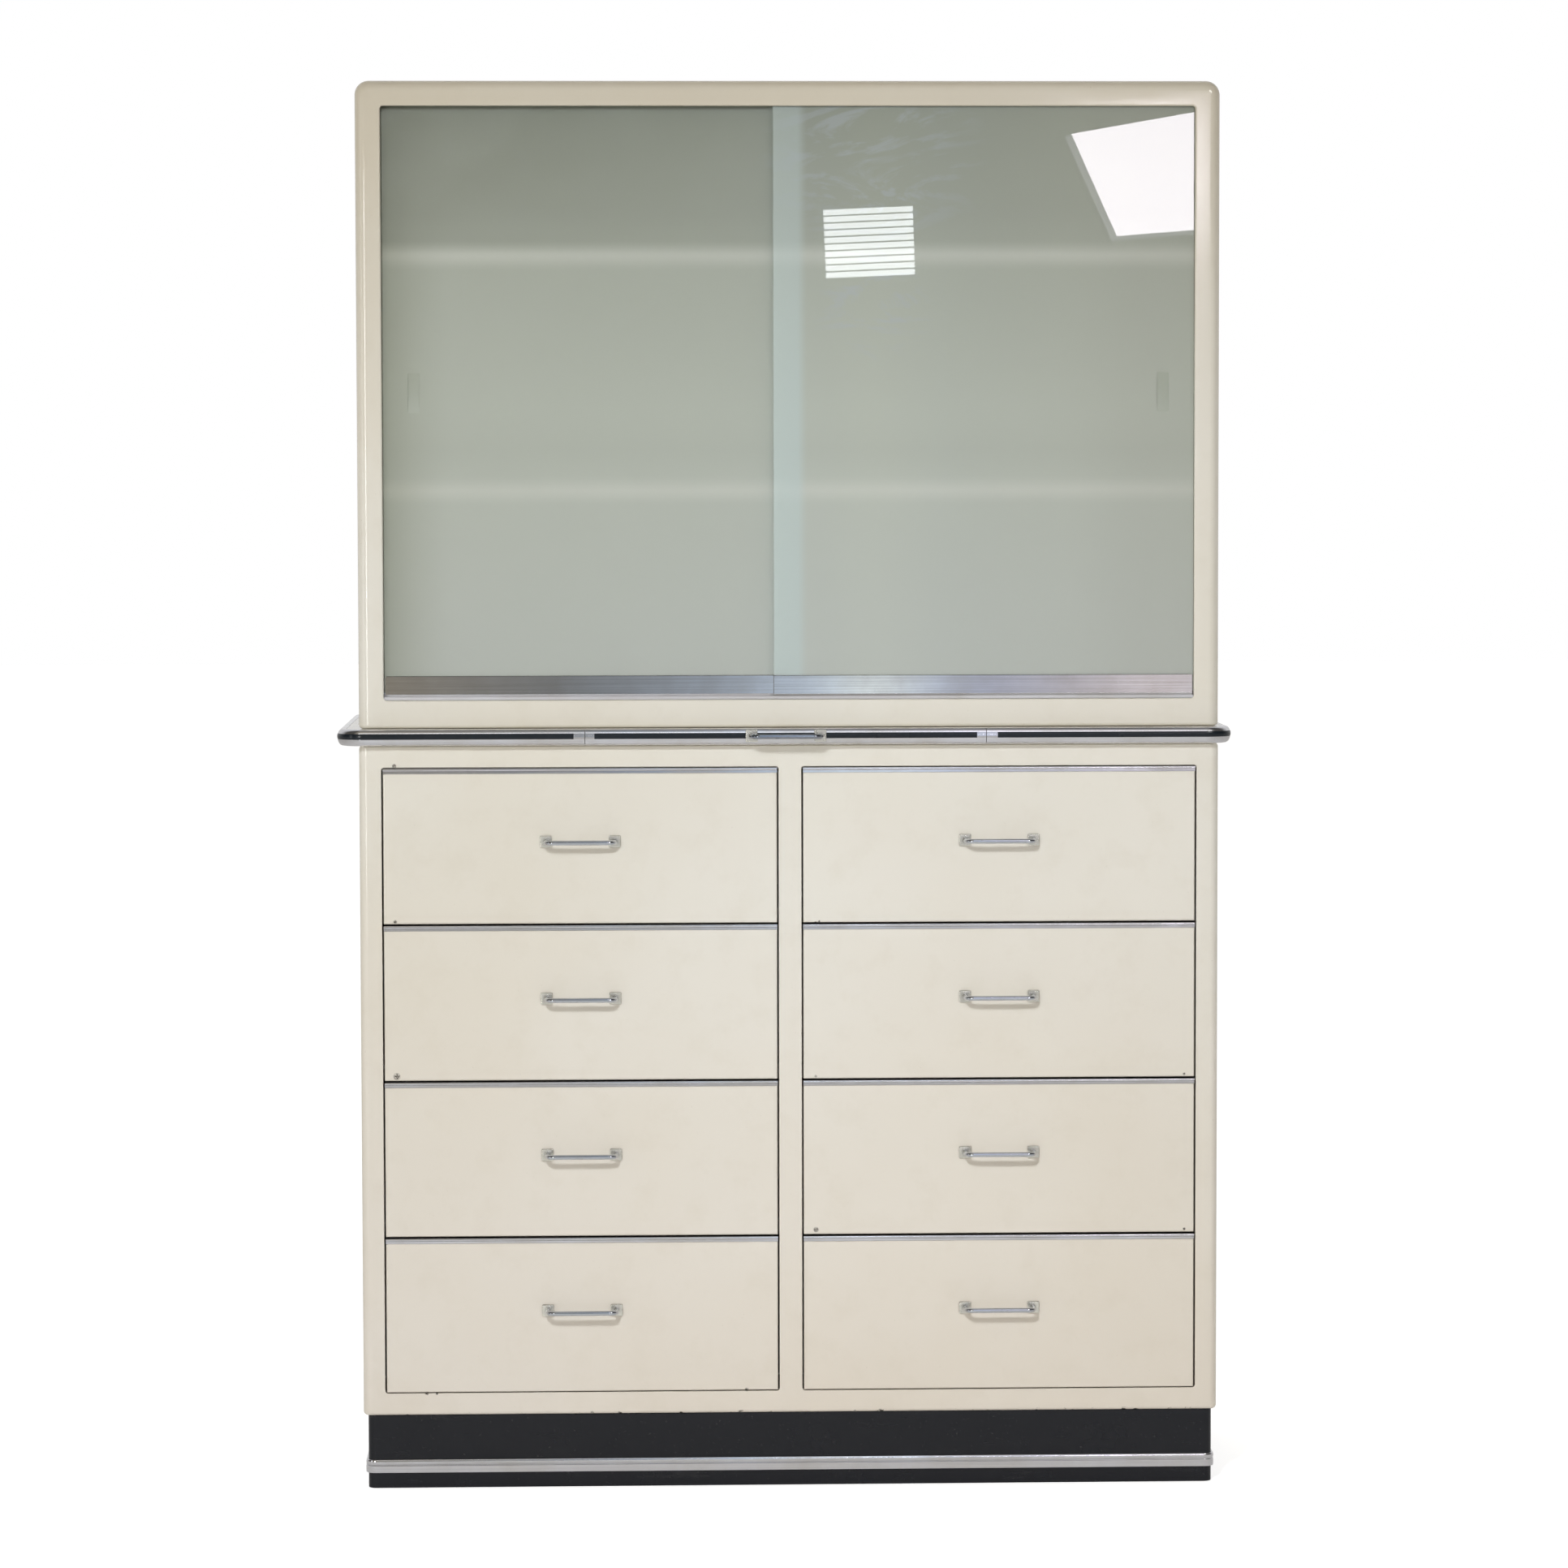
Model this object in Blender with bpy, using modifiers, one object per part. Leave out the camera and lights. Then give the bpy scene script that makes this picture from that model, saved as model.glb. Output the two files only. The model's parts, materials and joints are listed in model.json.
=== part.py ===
"""A doctor's cabinet of the 1950s in enamelled sheet steel.

A display case with two sliding frosted-glass doors stands on a ledge with a pull-out slide.
Under the ledge a lower case holds two columns of four drawers, on a black plinth.
Lengths are in metres. The front faces -Y, Z points up, and the floor is at Z = 0.
"""

import math

import bmesh
import bpy
from mathutils import Matrix, Vector

# Cases
CASE_WIDTH = 1.159
CASE_DEPTH = 0.420
CASE_SHIFT = 0.006  # the cases stand this far to the right of the ledge's middle
PLINTH_HEIGHT = 0.100
LOWER_HEIGHT = 0.908
LEDGE_HEIGHT = 0.0225
UPPER_HEIGHT = 0.8655
SHEET = 0.0015  # steel sheet of the cases
SEAT = 0.0003  # gap between pieces that rest on or are fastened to each other

# Edges of the cases
UPPER_CORNER_RADIUS = 0.019
UPPER_FRONT_RADIUS = 0.014
LOWER_FRONT_RADIUS = 0.011
CASE_FOOT_RADIUS = 0.005
ROUND_STEPS = 5
SMALL_ROUND_STEPS = 3
PROFILE_STEPS = 6  # pieces in the curved stretch of a profile
BEYOND = 0.003  # how far a cutter reaches past what it cuts

# Upper opening
UPPER_FRAME = 0.034  # width of the front frame above and beside the opening
UPPER_SILL = 0.0375  # height of the front frame under the opening
UPPER_JAMB = 0.040  # depth of the flange that the opening folds back into
TRACK_RECESS = 0.016  # height of the pocket over the opening that hides the top track
OPENING_LIP = 0.004
OPENING_RADIUS = 0.004

# Lower openings
LOWER_STILE = 0.030
LOWER_RAIL = 0.030
CENTRE_POST = 0.031
LOWER_JAMB = 0.020

# Backs
BACK_RIM = 0.020  # width of the fold that the back panel is screwed to
PANEL_SHEET = 0.0012
PANEL_INSET = 0.010

# Plinth and its trim
PLINTH_RECESS = 0.006
PLINTH_SHEET = 0.002
PLINTH_FLANGE = 0.030
PLINTH_RADIUS = 0.011
TRIM_HEIGHT = 0.018
TRIM_DEPTH = 0.003
TRIM_LEVEL = 0.021
TRIM_UPPER_SHARE = 0.42  # share of the trim's height that its rounded band takes
TRIM_LINE = 0.0008  # height of the fine line between the trim's two bands
TRIM_EDGE = 0.0009
TRIM_STEP = 0.0013  # how far the fine line lies behind the trim's face

# Ledge
LEDGE_OVERHANG = 0.023
LEDGE_OUTER_RADIUS = 0.036
MOULDING_DEPTH = 0.012
MOULDING_TOP_EDGE = 0.0025  # width of the flat on the moulding's top
MOULDING_WIDEST = 0.012  # height at which the moulding stands out furthest
UPPER_FULLNESS = 0.85  # 1 is an ellipse, and less is fuller
LOWER_FULLNESS = 0.70
INLAY_HEIGHT = 0.0075
INLAY_LEVEL = 0.009  # height of the groove's lower edge
INLAY_DEPTH = 0.003
INLAY_CROWN = 0.0004
INLAY_END = 0.0148  # bare length between the inlay's end and the moulding's end
SLIDE_INLAY_END = 0.0122  # the same on the slide's moulding
SEAM = 0.0008
CORNER_STEPS = 6

# Pull-out slide
SLIDE_FRONT_WIDTH = 0.540
SLIDE_WIDTH = 0.518
SLIDE_BACK_ROOM = 0.051  # from the slide's rear edge to the ledge's
SLIDE_SIDE_GAP = 0.001
SLIDE_TOP_GAP = 0.001
GUIDE_WALL = 0.002
BOARD_SHEET = 0.0015
SLIDE_REAR_GAP = 0.004

# Glass doors, their rails and their tracks
GLASS = 0.005
DOOR_OVERLAP = 0.042
DOOR_SIDE_GAP = 0.0015
RAIL_DEPTH = 0.010
RAIL_HEIGHT = 0.030
RAIL_CHAMFER = 0.0006
RAIL_WEB = 0.0075  # solid height of the rail under the pane's slot
TRACK_SETBACK = 0.005
TRACK_SHEET = 0.0015
TRACK_CLEARANCE = 0.0005
LIP_HEIGHT = 0.0025
MIDDLE_RIB_HEIGHT = 0.0055
REAR_RIB_HEIGHT = 0.0075
TOP_RIB_HEIGHT = 0.010
TOP_RIB = 0.0012
GLASS_TOP_GAP = 0.003
PULL_WIDTH = 0.016
PULL_HEIGHT = 0.054
PULL_DEPTH = 0.002
PULL_LEVEL = 0.412  # height of the finger pull's middle over the opening's sill
PULL_INSET = 0.042  # distance from the jamb to the finger pull's middle
PULL_SIDES = 160

# Shelves and what carries them
SHELF_HEIGHT = 0.018
SHELF_BACK_ROOM = 0.039  # from a shelf's rear edge to the case's
SHELF_SHEET = 0.0012
SHELF_SIDE_GAP = 0.003
LOWER_SHELF_LEVEL = 0.3255  # height of the shelf's top over the upper case's floor
UPPER_SHELF_LEVEL = 0.6395
SUPPORT_SHEET = 0.002
SUPPORT_REACH = 0.016
SUPPORT_MARGIN = 0.006
UPRIGHT = 0.030

# Drawers
ROWS = 4
DRAWER_GAP = 0.002
FRONT_DEPTH = 0.018
FRONT_SHEET = 0.0012
FRONT_FACE_RADIUS = 0.0025
FRONT_RIM = 0.020
STRIP_HEIGHT = 0.007
STRIP_SHEET = 0.0013
STRIP_BULGE = 0.0009
STRIP_TOP_DEPTH = 0.012
TRAY_SIDE_GAP = 0.010  # from the opening's edge to the tray's side
TRAY_LEVEL = 0.020  # from the foot of the drawer's place to the tray's floor
TRAY_HEIGHT = 0.150
TRAY_BACK_ROOM = 0.037  # from a tray's rear edge to the case's
TRAY_SHEET = 0.001
TRAY_HEM = 0.006
TRAY_RADIUS = 0.004

# Runners
RUNNER_SHEET = 0.0015
RUNNER_UNDER = 0.012  # how far a runner reaches under its tray
RUNNER_LIP = 0.014
RUNNER_SIDE_GAP = 0.0005
RUNNER_START = 0.004  # distance behind the opening's flange

# Handles
HANDLE_SPAN = 0.0925
HANDLE_BAR = 0.0065
HANDLE_REACH = 0.028  # from the plates' seat to the middle of the bar
HANDLE_BEND = 0.010
BEND_STEPS = 4
PLATE = 0.016
PLATE_THICKNESS = 0.003
PLATE_CHAMFER = 0.0008
BAR_IN_PLATE = 0.0012
HANDLE_LEVEL = 0.112  # height of the handle over the foot of its drawer's front

# Levels and planes worked out from the sizes above
LOWER_LEVEL = PLINTH_HEIGHT + SEAT
LEDGE_LEVEL = LOWER_LEVEL + LOWER_HEIGHT + SEAT
UPPER_LEVEL = LEDGE_LEVEL + LEDGE_HEIGHT + SEAT
REACH_IN_FRONT = LEDGE_OVERHANG + INLAY_CROWN + SEAT + HANDLE_REACH + HANDLE_BAR / 2
REACH_BEHIND = CASE_DEPTH + SEAT + PANEL_SHEET
FRONT_PLANE = (REACH_IN_FRONT - REACH_BEHIND) / 2

UPPER_OPENING_WIDTH = CASE_WIDTH - 2 * UPPER_FRAME
UPPER_OPENING_HEIGHT = UPPER_HEIGHT - UPPER_SILL - UPPER_FRAME
COLUMN_WIDTH = (CASE_WIDTH - 2 * LOWER_STILE - CENTRE_POST) / 2
COLUMN_HEIGHT = LOWER_HEIGHT - 2 * LOWER_RAIL
COLUMN_MIDDLE = (COLUMN_WIDTH + CENTRE_POST) / 2
PITCH = COLUMN_HEIGHT / ROWS
LEDGE_FRONT = LEDGE_OVERHANG - MOULDING_DEPTH - SEAT
LEDGE_HALF = CASE_WIDTH / 2 + LEDGE_FRONT
SLIDE_DEPTH = CASE_DEPTH + LEDGE_FRONT - SLIDE_BACK_ROOM
LEDGE_RADIUS = LEDGE_OUTER_RADIUS - MOULDING_DEPTH - SEAT
TRAY_WIDTH = COLUMN_WIDTH - 2 * TRAY_SIDE_GAP
TRAY_DEPTH = CASE_DEPTH - FRONT_DEPTH - TRAY_BACK_ROOM
SHELF_DEPTH = CASE_DEPTH - UPPER_JAMB - SUPPORT_MARGIN - SHELF_BACK_ROOM
SHELF_LEVELS = (LOWER_SHELF_LEVEL, UPPER_SHELF_LEVEL)
GROOVE = RAIL_DEPTH + 2 * TRACK_CLEARANCE
TRACK_DEPTH = 3 * TRACK_SHEET + 2 * GROOVE
DOOR_WIDTH = (UPPER_OPENING_WIDTH + DOOR_OVERLAP) / 2 - DOOR_SIDE_GAP
FRONT_DOOR_PLANE = TRACK_SETBACK + TRACK_SHEET + GROOVE / 2
REAR_DOOR_PLANE = FRONT_DOOR_PLANE + GROOVE + TRACK_SHEET
RAIL_FOOT = SEAT + TRACK_SHEET + SEAT

# Turns that lay an outline drawn in XY into another plane, with its thickness across it
INTO_XZ = Matrix.Rotation(math.pi / 2, 4, "X")
INTO_YZ = Matrix(((0, 0, 1, 0), (1, 0, 0, 0), (0, 1, 0, 0), (0, 0, 0, 1)))

SHARP_ANGLE = math.radians(35)


def clear_scene():
    """Takes away whatever the open file holds."""
    for thing in list(bpy.data.objects):
        bpy.data.objects.remove(thing)


def new_collection(name):
    """A collection of that name, linked into the scene."""
    collection = bpy.data.collections.new(name)
    bpy.context.scene.collection.children.link(collection)
    return collection


clear_scene()
CABINET = new_collection("doctors_cabinet")
CUTTERS = new_collection("cutters")


def new_finish(name, colour, roughness, metallic):
    """A plain material with the colour, roughness and metallic value of a finish."""
    finish = bpy.data.materials.new(name)
    finish.use_nodes = True
    shader = finish.node_tree.nodes["Principled BSDF"]
    shader.inputs["Base Color"].default_value = (*colour, 1.0)
    shader.inputs["Roughness"].default_value = roughness
    shader.inputs["Metallic"].default_value = metallic
    return finish


def cream_enamel():
    return new_finish("cream_enamel", (0.68, 0.63, 0.53), 0.25, 0.0)


def tray_enamel():
    return new_finish("tray_enamel", (0.66, 0.61, 0.52), 0.40, 0.0)


def black_lacquer():
    return new_finish("black_lacquer", (0.020, 0.022, 0.026), 0.30, 0.0)


def black_inlay():
    return new_finish("black_inlay", (0.018, 0.024, 0.028), 0.35, 0.0)


def bright_aluminium():
    return new_finish("bright_aluminium", (0.75, 0.75, 0.76), 0.22, 1.0)


def brushed_aluminium():
    return new_finish("brushed_aluminium", (0.62, 0.61, 0.62), 0.38, 1.0)


def chrome():
    return new_finish("chrome", (0.80, 0.80, 0.80), 0.08, 1.0)


def frosted_glass():
    return new_finish("frosted_glass", (0.52, 0.58, 0.50), 0.35, 0.0)


def zinc_steel():
    return new_finish("zinc_steel", (0.50, 0.50, 0.49), 0.45, 1.0)


FINISHES = {}


def finish_of(maker):
    """The finish that this function makes, made once and then shared."""
    if maker not in FINISHES:
        FINISHES[maker] = maker()
    return FINISHES[maker]


def new_body(name, at, parent=None):
    """An empty that carries the pieces which move together."""
    body = bpy.data.objects.new(name, None)
    body.location = at
    body.parent = parent
    CABINET.objects.link(body)
    return body


def new_piece(name, mesh, maker, body, at=(0.0, 0.0, 0.0)):
    """One named piece, placed on the body that carries it."""
    piece = bpy.data.objects.new(name, mesh)
    piece.location = at
    piece.parent = body
    CABINET.objects.link(piece)
    if not mesh.materials:
        mesh.materials.append(finish_of(maker))
    return piece


def new_tool(mesh, piece):
    """A hidden shape that a piece is cut with or joined to, in the piece's own place."""
    tool = bpy.data.objects.new(piece.name + "_tool", mesh)
    tool.location = piece.location
    tool.parent = piece.parent
    tool.hide_render = True
    tool.display_type = "WIRE"
    CUTTERS.objects.link(tool)
    return tool


def combine(piece, mesh, operation):
    """Cuts a shape from a piece, or joins it on."""
    boolean = piece.modifiers.new(operation.lower(), "BOOLEAN")
    boolean.operation = operation
    boolean.solver = "EXACT"
    boolean.object = new_tool(mesh, piece)


def cut(piece, mesh):
    combine(piece, mesh, "DIFFERENCE")


def join(piece, mesh):
    combine(piece, mesh, "UNION")


def shell_out(piece, thickness):
    """Turns the piece's surface into sheet of this thickness, measured inwards."""
    solidify = piece.modifiers.new("sheet", "SOLIDIFY")
    solidify.thickness = thickness
    solidify.offset = -1.0
    solidify.use_even_offset = True


def round_marked(piece, largest, steps=ROUND_STEPS):
    """Rounds the marked edges, each by its share of the largest radius."""
    bevel = piece.modifiers.new("rounds", "BEVEL")
    bevel.width = largest
    bevel.segments = steps
    bevel.limit_method = "WEIGHT"


def mesh_from(shape, name):
    """Stores a bmesh as a mesh."""
    mesh = bpy.data.meshes.new(name)
    shape.to_mesh(mesh)
    shape.free()
    return mesh


def box_shape(low, high):
    """A box between two corners, as a bmesh."""
    low = Vector(low)
    high = Vector(high)
    middle = (low + high) / 2
    shape = bmesh.new()
    place = Matrix.Translation(middle) @ Matrix.Diagonal((*(high - low), 1.0))
    bmesh.ops.create_cube(shape, size=1.0, matrix=place)
    return shape


def box_mesh(low, high, name="box"):
    return mesh_from(box_shape(low, high), name)


def edges_along(shape, axis):
    """The box's edges that run along this axis."""
    found = []
    for edge in shape.edges:
        run = edge.verts[1].co - edge.verts[0].co
        if abs(run[axis]) > 0.999 * run.length:
            found.append(edge)
    return found


def round_corners(shape, axis, radius, steps=ROUND_STEPS):
    """Rounds the four edges that run along this axis."""
    edges = edges_along(shape, axis)
    bmesh.ops.bevel(shape, geom=edges, offset=radius, segments=steps, profile=0.5, affect="EDGES")


def mark_round(shape, axis, radius, largest, **limits):
    """Marks edges along an axis for rounding: y=-1 keeps the front ones, z=1 the top ones."""
    weights = shape.edges.layers.float.get("bevel_weight_edge")
    if weights is None:
        weights = shape.edges.layers.float.new("bevel_weight_edge")
    middle = sum((vertex.co for vertex in shape.verts), Vector()) / len(shape.verts)
    for edge in edges_along(shape, axis):
        offset = (edge.verts[0].co + edge.verts[1].co) / 2 - middle
        if all(offset["xyz".index(letter)] * side > 0 for letter, side in limits.items()):
            edge[weights] = radius / largest


def weld(mesh):
    """Closes a mesh made from a curve, whose caps and walls come loose."""
    shape = bmesh.new()
    shape.from_mesh(mesh)
    bmesh.ops.remove_doubles(shape, verts=shape.verts, dist=1e-5)
    bmesh.ops.recalc_face_normals(shape, faces=shape.faces)
    shape.to_mesh(mesh)
    shape.free()
    return mesh


def baked(thing):
    """The object's final mesh. The object itself is taken away."""
    bpy.context.view_layer.update()
    graph = bpy.context.evaluated_depsgraph_get()
    mesh = bpy.data.meshes.new_from_object(thing.evaluated_get(graph))
    bpy.data.objects.remove(thing)
    return mesh


def add_line(curve, points, closed):
    """Adds a run of straight pieces through the points to a curve."""
    line = curve.splines.new("POLY")
    line.points.add(len(points) - 1)
    for target, point in zip(line.points, points):
        target.co = (*Vector(point).to_3d(), 1.0)
    line.use_cyclic_u = closed


def outline_curve(name, points):
    """A flat closed outline."""
    curve = bpy.data.curves.new(name, "CURVE")
    curve.dimensions = "2D"
    add_line(curve, points, True)
    return curve


def curve_object(curve):
    """A curve as an object that stands by until it has been turned into a mesh."""
    thing = bpy.data.objects.new(curve.name, curve)
    CUTTERS.objects.link(thing)
    return thing


def extruded(name, outline, length, turn):
    """An outline given this length across its plane, centred, then laid into place by the turn."""
    curve = outline_curve(name, outline)
    curve.fill_mode = "BOTH"
    curve.extrude = length / 2
    mesh = baked(curve_object(curve))
    mesh.transform(turn)
    return weld(mesh)


def swept(name, profile, path):
    """A profile carried along a level path. Its x points to the path's right and its y up."""
    guide = curve_object(outline_curve(name + "_profile", profile))
    curve = bpy.data.curves.new(name, "CURVE")
    curve.dimensions = "3D"
    curve.twist_mode = "Z_UP"
    add_line(curve, path, False)
    curve.bevel_mode = "OBJECT"
    curve.bevel_object = guide
    curve.use_fill_caps = True
    mesh = baked(curve_object(curve))
    bpy.data.objects.remove(guide)
    return weld(mesh)


def soften(mesh):
    """Smooth shading that stops at the mesh's real edges."""
    mesh.shade_smooth()
    mesh.set_sharp_from_angle(angle=SHARP_ANGLE)
    return mesh


def arc(centre, radius, start, end, steps):
    """Points on an arc from one angle to another, both in degrees."""
    points = []
    for step in range(steps + 1):
        angle = math.radians(start + (end - start) * step / steps)
        points.append((centre[0] + radius * math.cos(angle), centre[1] + radius * math.sin(angle)))
    return points


def case_shell(name, height, level, corner_round, front_round, body):
    """A closed box of sheet steel with its outer edges rounded, before its openings are cut."""
    shape = box_shape((-CASE_WIDTH / 2, 0, 0), (CASE_WIDTH / 2, CASE_DEPTH, height))
    largest = max(corner_round, front_round, CASE_FOOT_RADIUS)
    mark_round(shape, 1, corner_round, largest, z=1)
    mark_round(shape, 1, CASE_FOOT_RADIUS, largest, z=-1)
    mark_round(shape, 2, front_round, largest, y=-1)
    mark_round(shape, 0, front_round, largest, y=-1, z=1)
    mark_round(shape, 0, CASE_FOOT_RADIUS, largest, y=-1, z=-1)
    case = new_piece(name, mesh_from(shape, name), cream_enamel, body, (0, 0, level))
    round_marked(case, largest)
    shell_out(case, SHEET)
    return case


def cut_back(case, height):
    """Opens a case's back, leaving the fold that its back panel is screwed to."""
    low = (-CASE_WIDTH / 2 + BACK_RIM, CASE_DEPTH - SHEET - BEYOND, BACK_RIM)
    high = (CASE_WIDTH / 2 - BACK_RIM, CASE_DEPTH + BEYOND, height - BACK_RIM)
    cut(case, box_mesh(low, high))


def rounded_opening(low, high):
    """A cutter that runs along Y with its corners rounded."""
    shape = box_shape(low, high)
    round_corners(shape, 1, OPENING_RADIUS, SMALL_ROUND_STEPS)
    return mesh_from(shape, "opening")


def make_upper_case(body):
    """The display case: a front frame folded back round the doors, with a pocket over them."""
    case = case_shell(
        "upper_case", UPPER_HEIGHT, UPPER_LEVEL, UPPER_CORNER_RADIUS, UPPER_FRONT_RADIUS, body
    )
    half = UPPER_OPENING_WIDTH / 2
    top = UPPER_HEIGHT - UPPER_FRAME
    pocket = top + TRACK_RECESS
    join(
        case,
        box_mesh(
            (-half - SHEET, SHEET / 2, UPPER_SILL - SHEET),
            (half + SHEET, UPPER_JAMB, pocket + SHEET),
        ),
    )
    cut(case, box_mesh((-half, OPENING_LIP, UPPER_SILL), (half, UPPER_JAMB + BEYOND, pocket)))
    cut(case, rounded_opening((-half, -BEYOND, UPPER_SILL), (half, OPENING_LIP + BEYOND, top)))
    cut_back(case, UPPER_HEIGHT)


def make_lower_case(body):
    """The drawer case: two tall openings side by side, each folded back into the case."""
    case = case_shell(
        "lower_case", LOWER_HEIGHT, LOWER_LEVEL, CASE_FOOT_RADIUS, LOWER_FRONT_RADIUS, body
    )
    top = LOWER_HEIGHT - LOWER_RAIL
    half = COLUMN_WIDTH / 2
    for side in (-1, 1):
        middle = side * COLUMN_MIDDLE
        join(
            case,
            box_mesh(
                (middle - half - SHEET, SHEET / 2, LOWER_RAIL - SHEET),
                (middle + half + SHEET, LOWER_JAMB, top + SHEET),
            ),
        )
    for side in (-1, 1):
        middle = side * COLUMN_MIDDLE
        low = (middle - half, -BEYOND, LOWER_RAIL)
        high = (middle + half, LOWER_JAMB + BEYOND, top)
        cut(case, rounded_opening(low, high))
    cut_back(case, LOWER_HEIGHT)


def make_back_panel(name, height, level, body):
    """A flat sheet screwed onto the fold round a case's back."""
    half = CASE_WIDTH / 2 - PANEL_INSET
    low = (-half, 0, PANEL_INSET)
    high = (half, PANEL_SHEET, height - PANEL_INSET)
    mesh = box_mesh(low, high, name)
    new_piece(name, mesh, cream_enamel, body, (0, CASE_DEPTH + SEAT, level))


def make_plinth(body):
    """The black base: a sheet ring with a flange at its top and at its foot."""
    half = CASE_WIDTH / 2 - PLINTH_RECESS
    shape = box_shape((-half, PLINTH_RECESS, 0), (half, CASE_DEPTH, PLINTH_HEIGHT))
    mark_round(shape, 2, PLINTH_RADIUS, PLINTH_RADIUS, y=-1)
    plinth = new_piece("plinth", mesh_from(shape, "plinth"), black_lacquer, body)
    round_marked(plinth, PLINTH_RADIUS, CORNER_STEPS)
    shell_out(plinth, PLINTH_SHEET)
    low = (-half + PLINTH_FLANGE, PLINTH_RECESS + PLINTH_FLANGE, -BEYOND)
    high = (half - PLINTH_FLANGE, CASE_DEPTH - PLINTH_FLANGE, PLINTH_HEIGHT + BEYOND)
    cut(plinth, box_mesh(low, high))


def wrapped_path(half, front, back, radius):
    """A path from the back left corner, forwards, round the front and back along the right."""
    left = arc((-half + radius, front + radius), radius, 180, 270, CORNER_STEPS)
    right = arc((half - radius, front + radius), radius, 270, 360, CORNER_STEPS)
    return [(-half, back), *left, *right, (half, back)]


def trim_profile():
    """The plinth trim's section: a rounded upper band, a fine line, and a flat lower band."""
    flat_top = TRIM_HEIGHT * (1 - TRIM_UPPER_SHARE) - TRIM_LINE
    round_foot = flat_top + TRIM_LINE
    middle = (round_foot + TRIM_HEIGHT) / 2
    radius = (TRIM_HEIGHT - round_foot) / 2
    behind = TRIM_DEPTH - TRIM_STEP
    bulge = []
    for x, y in arc((0, 0), 1.0, -90, 90, PROFILE_STEPS):
        bulge.append((behind + TRIM_STEP * x, middle + radius * y))
    return [
        (0, 0),
        (TRIM_DEPTH - TRIM_EDGE, 0),
        (TRIM_DEPTH, TRIM_EDGE),
        (TRIM_DEPTH, flat_top),
        (behind, flat_top + TRIM_LINE / 2),
        *bulge,
        (0, TRIM_HEIGHT),
    ]


def make_plinth_trim(body):
    """The bright trim that wraps round the plinth's front and sides."""
    half = CASE_WIDTH / 2 - PLINTH_RECESS + SEAT
    path = wrapped_path(half, PLINTH_RECESS - SEAT, CASE_DEPTH, PLINTH_RADIUS + SEAT)
    mesh = soften(swept("plinth_trim", trim_profile(), path))
    new_piece("plinth_trim", mesh, bright_aluminium, body, (0, 0, TRIM_LEVEL))


def make_ledge_body(body):
    """The ledge: a folded sheet tray, open below, with the slide's guide box inside it."""
    shape = box_shape((-LEDGE_HALF, -LEDGE_FRONT, 0), (LEDGE_HALF, CASE_DEPTH, LEDGE_HEIGHT))
    mark_round(shape, 2, LEDGE_RADIUS, LEDGE_RADIUS, y=-1)
    ledge = new_piece("ledge_body", mesh_from(shape, "ledge_body"), cream_enamel, body)
    round_marked(ledge, LEDGE_RADIUS, CORNER_STEPS)
    shell_out(ledge, SHEET)
    slot = SLIDE_WIDTH / 2 + SLIDE_SIDE_GAP
    slot_back = -LEDGE_FRONT + SLIDE_DEPTH + SLIDE_REAR_GAP
    skin = SHEET / 2
    join(
        ledge,
        box_mesh(
            (-slot - GUIDE_WALL, -LEDGE_FRONT + skin, skin),
            (slot + GUIDE_WALL, slot_back + GUIDE_WALL, LEDGE_HEIGHT - skin),
        ),
    )
    cut(
        ledge,
        box_mesh(
            (-slot, -LEDGE_FRONT - BEYOND, GUIDE_WALL),
            (slot, slot_back, LEDGE_HEIGHT - GUIDE_WALL),
        ),
    )
    for side in (-1, 1):
        inner = side * (slot + GUIDE_WALL + BACK_RIM)
        outer = side * (CASE_WIDTH / 2 - BACK_RIM)
        low = (min(inner, outer), BACK_RIM, -BEYOND)
        high = (max(inner, outer), CASE_DEPTH - BACK_RIM, SHEET + BEYOND)
        cut(ledge, box_mesh(low, high))


def moulding_profile():
    """The ledge moulding's section: a bullnose that is fuller above than below."""
    crown = MOULDING_DEPTH - MOULDING_TOP_EDGE
    upper = []
    for x, y in arc((0, 0), 1.0, 0, 90, PROFILE_STEPS):
        bulge = abs(x) ** UPPER_FULLNESS
        height = MOULDING_WIDEST + (LEDGE_HEIGHT - MOULDING_WIDEST) * y
        upper.append((MOULDING_TOP_EDGE + crown * bulge, height))
    lower = []
    for x, y in arc((0, 0), 1.0, -90, 0, PROFILE_STEPS)[:-1]:
        bulge = abs(x) ** LOWER_FULLNESS
        lower.append((MOULDING_TOP_EDGE + crown * bulge, MOULDING_WIDEST * (1 + y)))
    return [(0, 0), *lower, *upper, (0, LEDGE_HEIGHT)]


def groove_profile():
    """The section of the groove that the moulding's inlay lies in."""
    floor = MOULDING_DEPTH - INLAY_DEPTH
    outside = MOULDING_DEPTH + BEYOND
    top = INLAY_LEVEL + INLAY_HEIGHT
    return [(floor, INLAY_LEVEL), (outside, INLAY_LEVEL), (outside, top), (floor, top)]


def inlay_profile():
    """The inlay's section: it fills the groove and is slightly crowned outside."""
    floor = MOULDING_DEPTH - INLAY_DEPTH + SEAT
    foot = INLAY_LEVEL + SEAT
    top = INLAY_LEVEL + INLAY_HEIGHT - SEAT
    edge = MOULDING_DEPTH - INLAY_CROWN
    crown = MOULDING_DEPTH + INLAY_CROWN
    middle = (foot + top) / 2
    return [(floor, foot), (edge, foot), (crown, middle), (edge, top), (floor, top)]


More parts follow.
